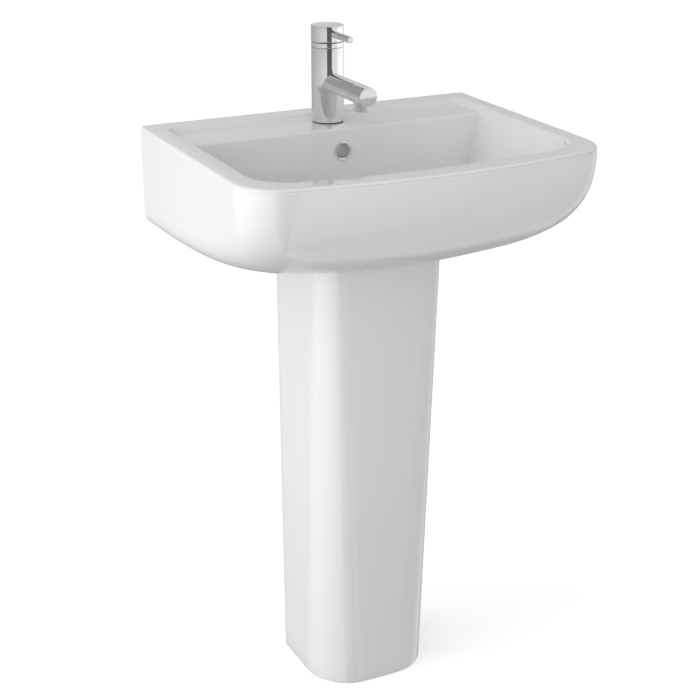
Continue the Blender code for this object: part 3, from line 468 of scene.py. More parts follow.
def pocket_step(first, last):
    """From the ledge's outer boundary square in over its S-shaped edge, or to the crest."""
    if (last - first).length <= POCKET_REACH:
        return last - first
    side = math.copysign(1, first.x)
    if abs(first.x) > POCKET_HALF - WELD / 2:
        return Vector((-side, 0)) * POCKET_REACH
    in_turn = first.y - LEDGE_START < LEDGE_CORNER - WELD / 2
    if abs(first.x) > POCKET_HALF - LEDGE_CORNER and in_turn:
        centre = Vector((side * (POCKET_HALF - LEDGE_CORNER), LEDGE_START + LEDGE_CORNER))
        return (centre - first).normalized() * POCKET_REACH
    return Vector((0, POCKET_REACH))


def bowl_outline(drop, rear, spread, corner_front, corner_rear):
    """One level of the bowl as (x, out) points."""
    half = BOWL_HALF + spread - drop * math.tan(SIDE_DRAFT)
    side = BOWL_SIDE_OUT + spread - drop * math.tan(FRONT_DRAFT)
    front = fronted(half, rear + corner_rear, side, BOWL_BOW, corner_front)
    return front + mirrored(mouth_rear(half, rear, corner_rear))


def rear_wall_out(drop):
    return BOWL_REAR_OUT + drop * math.tan(REAR_DRAFT)


def level(outline, drop):
    return [(x, out(y), down(drop)) for x, y in outline]


def lower_bowl(wall):
    """The rings below the bowl's edge: leaning walls, the long fillet and the sloping floor."""
    corner, corner_rear = BOWL_CORNER_FRONT + wall, BOWL_CORNER_REAR + wall
    rings = []
    for share in shares(7, 0):
        drop = BOWL_EDGE_DROP + (BOWL_WALL_DROP - BOWL_EDGE_DROP) * share
        rings.append(level(bowl_outline(drop, rear_wall_out(drop) - wall, wall, corner,
                                        corner_rear), drop))
    under = 0.020 if wall else 0
    height = BOWL_FLOOR_DROP + under - BOWL_WALL_DROP
    rear = rear_wall_out(BOWL_WALL_DROP) - wall
    for i in range(1, math.floor(FLOOR_TURN)):
        angle = math.pi / 2 * i / FLOOR_TURN
        t = math.sin(angle)
        inward = BOWL_FILLET * (1 - math.cos(angle))
        lean = height * math.tan(SIDE_DRAFT) * t * (1 - t) ** 2
        floor = bowl_outline(BOWL_WALL_DROP, rear + inward, wall - inward - lean, corner,
                             corner_rear + 0.6 * inward)
        rings.append(level(floor, BOWL_WALL_DROP + height * t))
    last = down(BOWL_WALL_DROP + height * t)
    low = down(WASTE_DROP + under)
    radius = WASTE_FLANGE_RADIUS + WASTE_DISH
    for share in shares(8):
        ring = []
        for x, y in floor:
            ray = Vector((x, y - WASTE_OUT)).normalized() * radius
            ease = 1 - (1 - share) ** 1.7
            ring.append((x + (ray.x - x) * share, out(y + (WASTE_OUT + ray.y - y) * share),
                         last + (low - last) * ease))
        rings.append(ring)
    return rings


def basin_rings():
    """Every ring of the basin's surface, from its base up over the rim and down to the waste."""
    outline = hull_outline(0)
    normals = outward(outline)
    rounds = [blend_over_front(x, y, HALF_WIDTH, SIDE_DEPTH, FRONT_BOW, SIDE_EDGE_ROUND,
                               FRONT_EDGE_ROUND) for x, y in outline]
    grooves = [blend_over_front(x, y, HALF_WIDTH, SIDE_DEPTH, FRONT_BOW, 0, GROOVE_DEPTH)
               for x, y in outline]
    starts = [r + GROOVE_HEIGHT for r in rounds]
    rings = [section_ring(outline, angle, starts, 0, 0) for angle in section_angles(34)]

    def inset_ring(insets, drops):
        ring = []
        for (x, y), normal, inset, drop in zip(outline, normals, insets, drops):
            if y <= 0:
                ring.append((x * (1 - inset / HALF_WIDTH), out(y), down(drop)))
            else:
                side = Vector((x, y)) - normal * inset
                ring.append((side.x, out(side.y), down(drop)))
        return ring

    for share in (0.25, 0.5, 0.75, 1):
        wave = math.sin(math.pi * share) ** 2
        rings.append(inset_ring([g * wave for g in grooves],
                                [r + GROOVE_HEIGHT * (1 - share) for r in rounds]))
    for inward, drop in map(quarter, shares(7)):
        rings.append(inset_ring([r * inward for r in rounds], [r * drop for r in rounds]))

    top = bowl_outline(0, BOWL_REAR_OUT, 0, BOWL_CORNER_FRONT, BOWL_CORNER_REAR)
    edge = bowl_outline(BOWL_EDGE_DROP, rear_wall_out(BOWL_EDGE_DROP), 0, BOWL_CORNER_FRONT,
                        BOWL_CORNER_REAR)
    across = outward(top)
    front_count = len(top) - 2 * len(mouth_rear(1, 0, 0)) + 1
    mouth = [blend_over_front(x, y, BOWL_HALF, BOWL_SIDE_OUT, BOWL_BOW, MOUTH_ROUND_SIDE,
                              MOUTH_ROUND_FRONT) for x, y in top]
    for i in range(front_count, len(top)):
        toward_wall = max(0, -across[i].y)
        mouth[i] = MOUTH_ROUND_SIDE + (MOUTH_ROUND_REAR - MOUTH_ROUND_SIDE) * toward_wall
    crest = [Vector(p) + n * r for p, n, r in zip(top, across, mouth)]
    boundary = crest[:front_count] + [Vector(p) for p in mirrored(ledge_rear(POCKET_HALF))]
    rings.append(level(boundary, 0))

    steps = [pocket_step(first, last) if i >= front_count else last - first
             for i, (first, last) in enumerate(zip(boundary, crest))]
    inner = [first + step for first, step in zip(boundary, steps)]

    def pocket_ring(points, extra=0):
        return [(p.x, out(p.y),
                 down(pocket_height(p.x, p.y) + extra if i >= front_count else 0))
                for i, p in enumerate(points)]

    for share in shares(12):
        rings.append(pocket_ring(first + step * share for first, step in zip(boundary, steps)))
    for share in (0.12, 0.3, 0.5, 0.7, 0.9, 1):
        rings.append(pocket_ring((first + (last - first) * share
                                  for first, last in zip(inner, crest)), LEDGE_FALL * share))
    tops = [point[2] for point in rings[-1]]
    for drop, outer in map(quarter, shares(7)):
        ring = []
        for p, q, n, r, high in zip(top, edge, across, mouth, tops):
            fall = RIM_Z - high + r * drop
            along = Vector(p) + (Vector(q) - Vector(p)) * fall / BOWL_EDGE_DROP
            spot = along + n * r * outer
            ring.append((spot.x, out(spot.y), down(fall)))
        rings.append(ring)
    return rings + lower_bowl(0)


def bowl_underside():
    rings = lower_bowl(SHELL_WALL)
    lid = [(x, y, down(0.010)) for x, y, _ in rings[0]]
    return skinned("bowl_underside", [lid, *rings])


def hull_hollow():
    under = LEDGE_DROP + LEDGE_THICKNESS
    outline = hull_outline(SHELL_WALL)
    rings = [section_ring(outline, angle, [under] * len(outline), REAR_PANEL, BASE_WALL)
             for angle in section_angles(16)]
    return skinned("hull_hollow", rings, out(REAR_PANEL))


# ---- ceramic pieces -----------------------------------------------------------------------

PEDESTAL_HEAD = (0.103, 0.262, 0.035)  # half width, depth at its sides, corner radius
PEDESTAL_FOOT = (0.098, 0.249, 0.067)
PEDESTAL_BOW = 0.005
PEDESTAL_REAR_OUT = 0.095
PEDESTAL_WALL = 0.012
PEDESTAL_CLEARANCE = 0.0015
PEDESTAL_SEAT_DROP = RIM_Z - PEDESTAL_TOP - 0.0003
FOOT_TAB = Vector((0.030, 0.045, 0.014))
FOOT_HOLE_RADIUS = 0.0035
SPOT_FACE_DROP = 0.152
SPOT_FACE_RADIUS = 0.0335
TAP_HOLE_RADIUS = 0.0175
WASTE_THREAD_RADIUS = 0.0205
WASTE_RECESS = 0.0045
OVERFLOW_DROP = 0.0417
OVERFLOW_SLEEVE = 0.0115
OVERFLOW_DUCT_RADIUS = 0.005
DUCT_OUT = 0.107
DUCT_DROP = 0.141
WALL_BOLT_DROP = 0.075
WALL_BOLT_HALF_SPACING = 0.140
BOLT_HOLE_RADIUS = 0.0075
BOLT_PITCH = 0.0016
STUD_PITCH = 0.00125
WASTE_PITCH = 0.0018
OVERFLOW_TURN = (math.pi / 2 - REAR_DRAFT, 0, 0)
OVERFLOW_PLACE = Vector((0, out(rear_wall_out(OVERFLOW_DROP)), down(OVERFLOW_DROP)))
TAP_AXIS = Vector((0, TAP_Y, LEDGE_Z))
WASTE_AXIS = Vector((0, WASTE_Y, WASTE_Z))


def pedestal_ring(share, inset=0.0):
    """The pedestal's U-shaped edge at a share of its height."""
    half, side, corner = (foot + (head - foot) * share
                          for foot, head in zip(PEDESTAL_FOOT, PEDESTAL_HEAD))
    rear = PEDESTAL_REAR_OUT + inset
    outer = fronted(half - inset, rear, side - inset, PEDESTAL_BOW, corner - inset)
    thin = PEDESTAL_WALL - inset
    inner = fronted(half - thin, rear, side - thin, PEDESTAL_BOW, corner - thin)
    return outer + list(reversed(inner))


def make_pedestal():
    """A tapering column, open at the back, with softened edges and two screw tabs."""
    rings = []
    for share in shares(24, 0):
        rings.append([(x, out(y), share * PEDESTAL_TOP) for x, y in pedestal_ring(share)])
    pedestal = bevelled(skinned("pedestal_shell", rings, sharp=50), 0.0016, 3, 60)
    tab_out = PEDESTAL_REAR_OUT + 0.004
    half = PEDESTAL_FOOT[0]
    for side in (-1, 1):
        near = side * (half - PEDESTAL_WALL - FOOT_TAB.x)
        far = side * (half - PEDESTAL_WALL / 2)
        tab = bevelled(block(f"foot_tab_{side}", (min(near, far), out(tab_out + FOOT_TAB.y), 0),
                             (max(near, far), out(tab_out), FOOT_TAB.z)), 0.0012)
        combined(pedestal, tab, operation="UNION")
        hole = rod(f"foot_hole_{side}", FOOT_HOLE_RADIUS, -PAST, PAST,
                   (near + side * FOOT_TAB.x / 2, out(tab_out + FOOT_TAB.y / 2), 0))
        combined(pedestal, hole)
    return shaded(pedestal, 40)


def make_basin():
    """The casting: fine outer surface, hollow underside and every hole of the real piece."""
    basin = skinned("basin_casting", basin_rings(), WALL_Y, sharp=40)
    rib_half = OVERFLOW_SLEEVE + 0.006
    rib_back = DUCT_OUT - OVERFLOW_DUCT_RADIUS - 0.008
    rib = block("overflow_rib", (-rib_half, out(WASTE_OUT), down(0.2)),
                (rib_half, out(rib_back), down(0)))
    tools = [combined(hull_hollow(), bowl_underside(), rib)]
    behind = rib_back - 0.003
    for number, (left, right) in enumerate(((-0.075, 0.075), (0.098, 0.232), (-0.232, -0.098))):
        opening = block(f"rear_opening_{number}",
                        (left, out(behind), down(HULL_DEPTH_FRONT + PAST)),
                        (right, out(REAR_PANEL + 0.002), down(0.110)))
        tools.append(bevelled(opening, 0.004, 3))
    fit, lip = WASTE_FLANGE_RADIUS + GAP, WASTE_FLANGE_RADIUS + 0.0016
    tools += [
        rod("tap_hole", TAP_HOLE_RADIUS, -0.05, PAST, TAP_AXIS),
        rod("waste_hole", WASTE_THREAD_RADIUS + 0.002, -0.08, PAST, WASTE_AXIS),
        lathed("waste_recess", [
            (0, -WASTE_RECESS), (fit, -WASTE_RECESS), (fit, -0.0012), (lip, 0.0002),
            (lip, PAST), (0, PAST)], WASTE_AXIS, soft=0.0010),
        rod("spot_face", SPOT_FACE_RADIUS, -0.05, 0, (0, WASTE_Y, down(SPOT_FACE_DROP))),
        rod("overflow_hole", OVERFLOW_SLEEVE + GAP, -0.016, PAST, OVERFLOW_PLACE, OVERFLOW_TURN),
        rod("overflow_duct", OVERFLOW_DUCT_RADIUS, down(DUCT_DROP + 0.004),
            down(OVERFLOW_DROP), (0, out(DUCT_OUT), 0), steps=24),
        rod("waste_duct", OVERFLOW_DUCT_RADIUS - 0.0005, 0, WASTE_OUT - DUCT_OUT,
            (0, out(DUCT_OUT), down(DUCT_DROP)), FORWARD, 24)]
    for side in (-1, 1):
        place = (side * WALL_BOLT_HALF_SPACING, WALL_Y, down(WALL_BOLT_DROP))
        tools.append(rod(f"bolt_hole_{side}", BOLT_HOLE_RADIUS, -PAST, 0.03, place, FORWARD,
                         32))
    seat = pedestal_ring(1, -PEDESTAL_CLEARANCE)
    tools.append(skinned("pedestal_seat", [level(seat, PEDESTAL_SEAT_DROP), level(seat, 0.20)]))
    for tool in tools:
        combined(basin, tool)
    return sealed(basin, 34)


# ---- tap ----------------------------------------------------------------------------------

NOZZLE_LOW, NOZZLE_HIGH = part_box("aerator_housing")
NOZZLE_RADIUS = radius_of("aerator_housing")
PIVOT = Vector(next(j["pos_m"] for j in frame["joints"] if j["name"] == "lever_lift"))


BODY_WALL = 0.0035
TUBE_WALL = 0.0045
CAP_BORE = 0.0206
NOZZLE_BORE = 0.0088
RING_BORE = 0.0229
CHEEKS = (0.0078, 0.0118)


def over_ledge(node):
    """The heights of a node's foot and top above the tap ledge."""
    low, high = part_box(node)
    return low.z - LEDGE_Z, high.z - LEDGE_Z


def reach_of(node, axis_y):
    """How far a level piece's near and far end are from an upright axis."""
    return sorted(abs(corner.y - axis_y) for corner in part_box(node))


def make_tap():
    """The mixer's visible metal: column, spout, end piece, nozzle, trim ring, cap and pin."""
    foot, top = over_ledge("tap_body")
    body = lathed("tap_column", [
        (0, foot), (TAP_RADIUS, foot), (TAP_RADIUS, top), (TAP_RADIUS - BODY_WALL, top),
        (TAP_RADIUS - BODY_WALL, top - 0.008), (0, top - 0.008)], TAP_AXIS, steps=128, soft=0.0005)
    spout_place = (0, TAP_Y, SPOUT_Z)
    seam = reach_of("tap_spout", TAP_Y)[1]
    spout = lathed("spout_tube", [
        (SPOUT_RADIUS - TUBE_WALL, 0.008), (SPOUT_RADIUS, 0.008), (SPOUT_RADIUS, seam),
        (SPOUT_RADIUS - TUBE_WALL, seam)], spout_place, FORWARD, ring=True)
    combined(spout, rod("saddle", TAP_RADIUS + HAIRLINE, -0.02, 0.1, TAP_AXIS, steps=128))
    shaded(spout, 40)
    start, reach = reach_of("spout_end", TAP_Y)
    end = lathed("spout_end_piece", [
        (0, reach), (SPOUT_RADIUS, reach), (SPOUT_RADIUS, start), (SPOUT_RADIUS - TUBE_WALL, start),
        (SPOUT_RADIUS - TUBE_WALL, start + 0.015), (0, start + 0.015)],
        spout_place, FORWARD, soft=0.0011)
    nozzle_place = (0, middle("aerator_housing").y, 0)
    combined(end, rod("nozzle_socket", NOZZLE_RADIUS + HAIRLINE, SPOUT_Z - 0.04, SPOUT_Z - 0.002,
                      nozzle_place))
    shaded(end, 40)
    low, high = NOZZLE_LOW.z, NOZZLE_HIGH.z
    nozzle = lathed("aerator_collar", [
        (NOZZLE_BORE, low), (NOZZLE_RADIUS, low), (NOZZLE_RADIUS, low + 0.0042),
        (NOZZLE_RADIUS - 0.0004, low + 0.0045), (NOZZLE_RADIUS, low + 0.0048),
        (NOZZLE_RADIUS, high), (0.0105, high), (0.0105, low + 0.0015), (NOZZLE_BORE, low + 0.0015)],
        nozzle_place, ring=True, soft=0.0005)
    bezel_foot, bezel_top = over_ledge("bezel_ring")
    bore = RING_BORE
    dome_foot = bezel_foot + 0.0015
    dome = [(bore - (bore - 0.0128) * i / 8, dome_foot + 0.003 * math.sin(math.pi / 16 * i))
            for i in range(9)]
    bezel = lathed("trim_ring", [
        (TAP_RADIUS, bezel_foot), (TAP_RADIUS, bezel_top), (TAP_RADIUS - 0.0005, bezel_top),
        (bore, bezel_top - 0.0012), *dome, *[(r, z - 0.0008) for r, z in reversed(dome)],
        (bore, bezel_foot)], TAP_AXIS, steps=128, ring=True, soft=0.0004)
    cap_foot, cap_top = over_ledge("handle_cap")
    cap = lathed("tap_cap", [
        (0, cap_top), (TAP_RADIUS, cap_top), (TAP_RADIUS, cap_foot), (CAP_BORE, cap_foot),
        (CAP_BORE, cap_top - 0.005), (0, cap_top - 0.005)], TAP_AXIS, steps=128, soft=0.0009)
    for side in (-1, 1):
        near, far = sorted(side * x for x in CHEEKS)
        cheek = block(f"cap_cheek_{side}", (near, PIVOT.y - 0.005, PIVOT.z - 0.005),
                      (far, PIVOT.y + 0.005, LEDGE_Z + cap_top - 0.0025))
        combined(cap, cheek, operation="UNION")
    combined(cap, rod("cross_hole", 0.0023, -0.014, 0.014, PIVOT, SIDEWAYS))
    pin_radius = radius_of("lever_pin")
    root, tip = reach_of("lever_pin", TAP_Y)
    grip_place = (0, TAP_Y, middle("lever_pin").z)
    combined(cap, rod("grip_socket", pin_radius + HAIRLINE, root - 0.0003, 0.05, grip_place,
                      FORWARD))
    shaded(cap, 40)
    pin = lathed("lever_rod", [
        (0, root), (pin_radius, root), (pin_radius, tip), (0, tip)],
        grip_place, FORWARD, steps=64, soft=0.0007)
    return body, spout, end, nozzle, bezel, cap, pin


def make_overflow():
    return lathed("overflow_trim", [
        (0.0105, -0.007), (OVERFLOW_SLEEVE, -0.007), (OVERFLOW_SLEEVE, GAP),
        (0.0150, GAP), (0.0150, 0.0008), (0.0139, 0.0021), (0.0121, 0.0024), (0.0105, 0.0008)],
        OVERFLOW_PLACE, OVERFLOW_TURN, ring=True, soft=0.0007)


def cross_bored(piece, radius):
    """Bores both round slots through the waste, level with the overflow's duct."""
    place = WASTE_AXIS - Vector((0, 0, DUCT_DROP - WASTE_DROP))
    for turn in (FORWARD, SIDEWAYS):
        combined(piece, rod("overflow_slot", radius, -0.04, 0.04, place, turn, 24))
    return piece


def make_waste():
    """The waste's flange and slotted body, and the domed plug above it."""
    flange = WASTE_FLANGE_RADIUS
    bore = 0.0175
    web = -0.032
    length = WASTE_Z - WASTE_LOW.z
    body = lathed("waste_fitting", [
        (0.0065, web), (0.0065, web - 0.004), (bore, web - 0.004), (bore, -length),
        (WASTE_THREAD_RADIUS - 0.0008, -length), (WASTE_THREAD_RADIUS - 0.0008, -0.0045),
        (WASTE_THREAD_RADIUS, -0.0040), (WASTE_THREAD_RADIUS, -0.0027), (flange, -0.0020),
        (flange, -0.0005), (flange - 0.0018, 0), (0.0240, 0), (0.0205, -0.0022), (bore, -0.0060),
        (bore, web)], WASTE_AXIS, ring=True, soft=0.0006)
    for number in range(4):
        angle = math.pi / 2 * (number + 0.5)
        place = WASTE_AXIS + Vector((math.cos(angle), math.sin(angle), 0)) * 0.0118
        combined(body, rod(f"web_hole_{number}", 0.0040, web - 0.01, web + 0.005, place, steps=24))
    cross_bored(body, 0.0040)
    plug_low, plug_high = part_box("plug_cap")
    rise = plug_high.z - plug_low.z
    radius = radius_of("plug_cap")
    dome = [(radius * (1 - share) * 0.985, rise * (
        0.30 + 0.70 * math.sin(math.pi / 2 * share) ** 0.8)) for share in shares(8, 0)]
    plug = lathed("plug_disc", [(0, 0), (radius - 0.001, 0), (radius, rise * 0.14), *dome],
                  (0, WASTE_Y, plug_low.z), soft=0.0005)
    return shaded(body, 40), plug


# ---- node trees written as sums -----------------------------------------------------------

class Wire:
    """One output of a node tree. Sums on wires add Math nodes; node() adds any other."""

    def __init__(self, tree, socket=None):
        self.tree = tree
        self.socket = socket

    def node(self, kind, settings=None, sockets=None, output=0):
        node = self.tree.nodes.new(kind)
        for name, value in (settings or {}).items():
            if name == "stops":
                ramp = node.color_ramp.elements
                ramp.remove(ramp[-1])
                ramp[0].position, ramp[0].color = value[0]
                for position, colour in value[1:]:
                    ramp.new(position).color = colour
            else:
                setattr(node, name, value)
        for name, value in (sockets or {}).items():
            if isinstance(value, Wire):
                self.tree.links.new(value.socket, node.inputs[name])
            else:
                node.inputs[name].default_value = value
        return Wire(self.tree, node.outputs[output])

    def sum(self, operation, *values):
        return self.node("ShaderNodeMath", {"operation": operation}, dict(enumerate(values)))

    def operator(operation, swapped=False):
        def act(self, other):
            return self.sum(operation, *((other, self) if swapped else (self, other)))
        return act

    __add__ = __radd__ = operator("ADD")
    __mul__ = __rmul__ = operator("MULTIPLY")
    __sub__, __rsub__ = operator("SUBTRACT"), operator("SUBTRACT", True)
    __truediv__, __pow__ = operator("DIVIDE"), operator("POWER")
    larger = operator("MAXIMUM")

    def between(self, low, high):
        """0 below low, 1 above high and smooth in between."""
        return self.node("ShaderNodeMapRange", {"interpolation_type": "SMOOTHSTEP"},
                         {"Value": self, "From Min": low, "From Max": high})

    def blend(self, first, second):
        """A colour between two others, by this wire."""
        return self.node("ShaderNodeMix", {"data_type": "RGBA"},
                         {0: self, 6: first, 7: second}, 2)


# ---- finishes -----------------------------------------------------------------------------

class Finish:
    """A material: a shader with even values, to which patterns on object coordinates are wired."""

    def __init__(self, name, colour, roughness, metallic=0.0, **even):
        self.material = bpy.data.materials.new(name)
        self.material.use_nodes = True
        self.tree = self.material.node_tree
        self.shader = self.tree.nodes["Principled BSDF"]
        self.wires = Wire(self.tree)
        self.place = self.wires.node("ShaderNodeTexCoord", output=3)
        self.even("Base Color", (*colour, 1))
        self.even("Roughness", roughness)
        self.even("Metallic", metallic)
        for socket, value in even.items():
            self.even(socket.replace("_", " "), value)

    def even(self, socket, value):
        self.shader.inputs[socket].default_value = value

    def vary(self, socket, wire):
        self.tree.links.new(wire.socket, self.shader.inputs[socket])

    def noise(self, scale, detail=2.0, stretch=(1, 1, 1)):
        place = self.place
        if stretch != (1, 1, 1):
            place = self.wires.node("ShaderNodeMapping", None, {"Vector": place, "Scale": stretch})
        return self.wires.node("ShaderNodeTexNoise", None,
                               {"Vector": place, "Scale": scale, "Detail": detail})

    def height(self, axis):
        return self.wires.node("ShaderNodeSeparateXYZ", None, {"Vector": self.place}, axis)

    def relief(self, *layers):
        """Adds (height, depth in metres) layers of bump, each over the last."""
        normal = None
        for height, depth in layers:
            sockets = {"Height": height, "Distance": depth, "Strength": 1.0}
            if normal:
                sockets["Normal"] = normal
            normal = self.wires.node("ShaderNodeBump", None, sockets)
        self.vary("Normal", normal)


def glazed():
    """White vitreous glaze, left off the wall face and the foot, where the clay shows."""
    glaze = Finish("glaze", (0.87, 0.875, 0.87), 0.07, Coat_Roughness=0.03)
    wall = glaze.height(1).between(WALL_Y - 0.0016, WALL_Y - 0.0006)
    foot = 1 - glaze.height(2).between(0.0010, 0.0022)
    ragged = (glaze.noise(260, 3) - 0.5) * 0.5
    bare = (wall.larger(foot) + ragged).between(0.45, 0.60)
    cloud = glaze.noise(5.5, 3).between(0.30, 0.70)
    body = cloud.blend((0.862, 0.870, 0.868, 1), (0.880, 0.882, 0.876, 1))
    clay = glaze.noise(90, 5).blend((0.74, 0.71, 0.66, 1), (0.84, 0.82, 0.78, 1))
    glaze.vary("Base Color", bare.blend(body, clay))
    sheen = 0.055 + glaze.noise(22, 4).between(0.35, 0.80) * 0.035
    glaze.vary("Roughness", sheen + bare * 0.70)
    glaze.vary("Coat Weight", 0.55 - bare * 0.55)
    glaze.relief((glaze.noise(16, 1), 0.00018), (glaze.noise(750, 1), 0.000004),
                 (bare * glaze.noise(1400, 3), 0.00016))
    return glaze.material


def chromed():
    """Bright plated metal with faint wiping marks and the softest waviness."""
    chrome = Finish("chrome", (0.82, 0.83, 0.85), 0.05, 1.0)
    wiped = chrome.noise(34, 4, (1, 1, 0.35)).between(0.42, 0.75)
    chrome.vary("Base Color", wiped.blend((0.83, 0.84, 0.86, 1), (0.79, 0.80, 0.82, 1)))
    marks = chrome.noise(420, 2, (1, 1, 0.06)).between(0.62, 0.80)
    chrome.vary("Roughness", 0.035 + wiped * 0.035 + marks * 0.03)
    chrome.relief((chrome.noise(30, 1), 0.0000015), (marks, 0.0000004))
    return chrome.material


def turned_metal(name, light, dark, smooth, rough, ridge):
    """Machined metal: fine tool rings across the height, tarnish and handling marks."""
    metal = Finish(name, light, smooth, 1.0)
    tarnish = metal.noise(60, 5).between(0.40, 0.72)
    metal.vary("Base Color", tarnish.blend((*light, 1), (*dark, 1)))
    rings = metal.noise(60, 1, (0.05, 0.05, 40))
    metal.vary("Roughness", smooth + tarnish * (rough - smooth) + rings * 0.06)
    metal.relief((rings, ridge), (metal.noise(900, 2), ridge / 2))
    return metal.material


def zinc_plated():
    """Passivated steel: cloudy crystals in the plating and dull high spots."""
    zinc = Finish("steel", (0.60, 0.61, 0.62), 0.34, 1.0)
    crystal = zinc.wires.node("ShaderNodeTexVoronoi", None, {"Vector": zinc.place, "Scale": 700.0})
    cloud = zinc.noise(130, 4).between(0.35, 0.70)
    zinc.vary("Base Color", (crystal * 0.5 + cloud * 0.5).blend((0.66, 0.67, 0.67, 1),
                                                                (0.50, 0.52, 0.54, 1)))
    zinc.vary("Roughness", 0.26 + cloud * 0.18)
    zinc.relief((crystal, 0.000012), (zinc.noise(1600, 2), 0.000008))
    return zinc.material


def moulded(name, colour, shade, roughness, grain):
    """Plastic or rubber with a fine moulded grain, slight shading and handling wear."""
    plain = Finish(name, colour, roughness)
    cloud = plain.noise(38, 3).between(0.35, 0.70)
    plain.vary("Base Color", cloud.blend((*colour, 1), (*shade, 1)))
    plain.vary("Roughness", roughness - 0.06 + plain.noise(160, 3) * 0.12)
    plain.relief((plain.noise(2200, 2), grain), (plain.noise(70, 2), grain * 3))
    return plain.material


FINISHES = {
    "glaze": glazed(),
    "chrome": chromed(),
    "brass": turned_metal("brass", (0.76, 0.57, 0.27), (0.58, 0.40, 0.18), 0.20, 0.36, 0.000012),
    "copper": turned_metal("copper", (0.83, 0.47, 0.32), (0.55, 0.30, 0.20), 0.22, 0.42, 0.000003),
    "steel": zinc_plated(),
    "rubber": moulded("rubber", (0.030, 0.030, 0.032), (0.050, 0.050, 0.050), 0.72, 0.00004),
    "white_plastic": moulded("white_plastic", (0.80, 0.80, 0.785), (0.75, 0.75, 0.73), 0.40,
                             0.000012),
    "grey_plastic": moulded("grey_plastic", (0.40, 0.41, 0.43), (0.33, 0.34, 0.36), 0.45,
                            0.000014),
}

# ---- repeated details, grown by geometry trees --------------------------------------------


def geometry_tree(name, inputs, build):
    """A tree with named inputs. build(wires, input wires) returns the geometry to finish."""
    tree = bpy.data.node_groups.new(name, "GeometryNodeTree")
    kinds = dict(inputs, Finish="NodeSocketMaterial")
    for socket, kind in kinds.items():
        tree.interface.new_socket(socket, in_out="INPUT", socket_type=kind)
    tree.interface.new_socket("Geometry", in_out="OUTPUT", socket_type="NodeSocketGeometry")
    entry = tree.nodes.new("NodeGroupInput")
    given = {socket: Wire(tree, entry.outputs[socket]) for socket in kinds}
    wires = Wire(tree)
    real = wires.node("GeometryNodeRealizeInstances", None, {0: build(wires, given)})
    dressed = wires.node("GeometryNodeSetMaterial", None,
                         {"Geometry": real, "Material": given["Finish"]})
    exit_node = tree.nodes.new("NodeGroupOutput")
    tree.links.new(dressed.socket, exit_node.inputs[0])
    return tree


def thread_build(wires, given):
    """A three-sided ridge wound up a screw."""
    turns = given["Length"] / given["Pitch"]
    path = wires.node("GeometryNodeCurveSpiral", None, {
        "Resolution": 28, "Rotations": turns, "Start Radius": given["Radius"],
        "End Radius": given["Radius"], "Height": given["Length"]})
    level = wires.node("GeometryNodeSetCurveNormal", {"mode": "Z_UP"}, {"Curve": path})
    ridge = wires.node("GeometryNodeCurvePrimitiveCircle", None,
                       {"Resolution": 4, "Radius": given["Pitch"] * RIDGE_SHARE})
    return wires.node("GeometryNodeCurveToMesh", None,
                      {"Curve": level, "Profile Curve": ridge, "Fill Caps": True})


def grip_build(wires, given):
    """Rounded finger ribs standing round a nut or a cup."""
    ring = wires.node("GeometryNodeMeshCircle", None,
                      {"Vertices": given["Count"], "Radius": given["Radius"]})
    rib = wires.node("GeometryNodeMeshCylinder", None, {
        "Vertices": 10, "Radius": given["Rib Radius"], "Depth": given["Height"]})
    return wires.node("GeometryNodeInstanceOnPoints", None, {"Points": ring, "Instance": rib})


def screen_build(wires, given):
    """Crossed wires, each as long as the round opening is wide at its place."""
    span = given["Radius"] * 2
    gap = span / (given["Wires"] + 1)
    line = wires.node("GeometryNodeMeshLine", {"mode": "OFFSET"}, {"Count": given["Wires"]})
    index = wires.node("GeometryNodeInputIndex")
    across = (index + 1) * gap - given["Radius"]
    spot = wires.node("ShaderNodeCombineXYZ", None, {"X": across})
    points = wires.node("GeometryNodeSetPosition", None, {"Geometry": line, "Position": spot})
    place = wires.node("GeometryNodeInputPosition")
    x = wires.node("ShaderNodeSeparateXYZ", None, {"Vector": place})
    reach = wires.sum("SQRT", given["Radius"] ** 2 - x * x)
    size = wires.node("ShaderNodeCombineXYZ", None, {"X": 1.0, "Y": reach * 2, "Z": 1.0})
    wire = wires.node("GeometryNodeMeshCube", None, {"Size": (0.00035, 1.0, 0.00035)})
    one = wires.node("GeometryNodeInstanceOnPoints", None,
                     {"Points": points, "Instance": wire, "Scale": size})
    other = wires.node("GeometryNodeTransform", None, {
        "Geometry": one, "Translation": (0, 0, 0.0003), "Rotation": (0, 0, math.pi / 2)})
    joined = wires.tree.nodes.new("GeometryNodeJoinGeometry")
    for layer in (one, other):
        wires.tree.links.new(layer.socket, joined.inputs[0])
    return Wire(wires.tree, joined.outputs[0])


NUMBER = "NodeSocketFloat"
COUNT = "NodeSocketInt"
THREAD = geometry_tree("screw_thread", {"Radius": NUMBER, "Length": NUMBER, "Pitch": NUMBER},
                       thread_build)
GRIP = geometry_tree("finger_grip", {"Count": COUNT, "Radius": NUMBER, "Rib Radius": NUMBER,
                                     "Height": NUMBER}, grip_build)
SCREEN = geometry_tree("aerator_screen", {"Wires": COUNT, "Radius": NUMBER}, screen_build)


def grown(name, tree, finish, place=(0, 0, 0), turn=(0, 0, 0), **values):
    """Grows a detail and keeps it as a plain mesh in its place."""
    obj = bpy.data.objects.new(name, bpy.data.meshes.new(name))
    bpy.context.scene.collection.objects.link(obj)
    modifier = obj.modifiers.new(name, "NODES")
    modifier.node_group = tree
    values = {key.replace("_", " "): value for key, value in values.items()}
    for item in tree.interface.items_tree:
        if item.in_out == "INPUT":
            modifier[item.identifier] = dict(values, Finish=finish)[item.name]
    evaluated(obj)
    mesh = bmesh.new()
    mesh.from_mesh(obj.data)
    bpy.data.objects.remove(obj, do_unlink=True)
    return piece_of(name, mesh, place, turn, sharp=40)


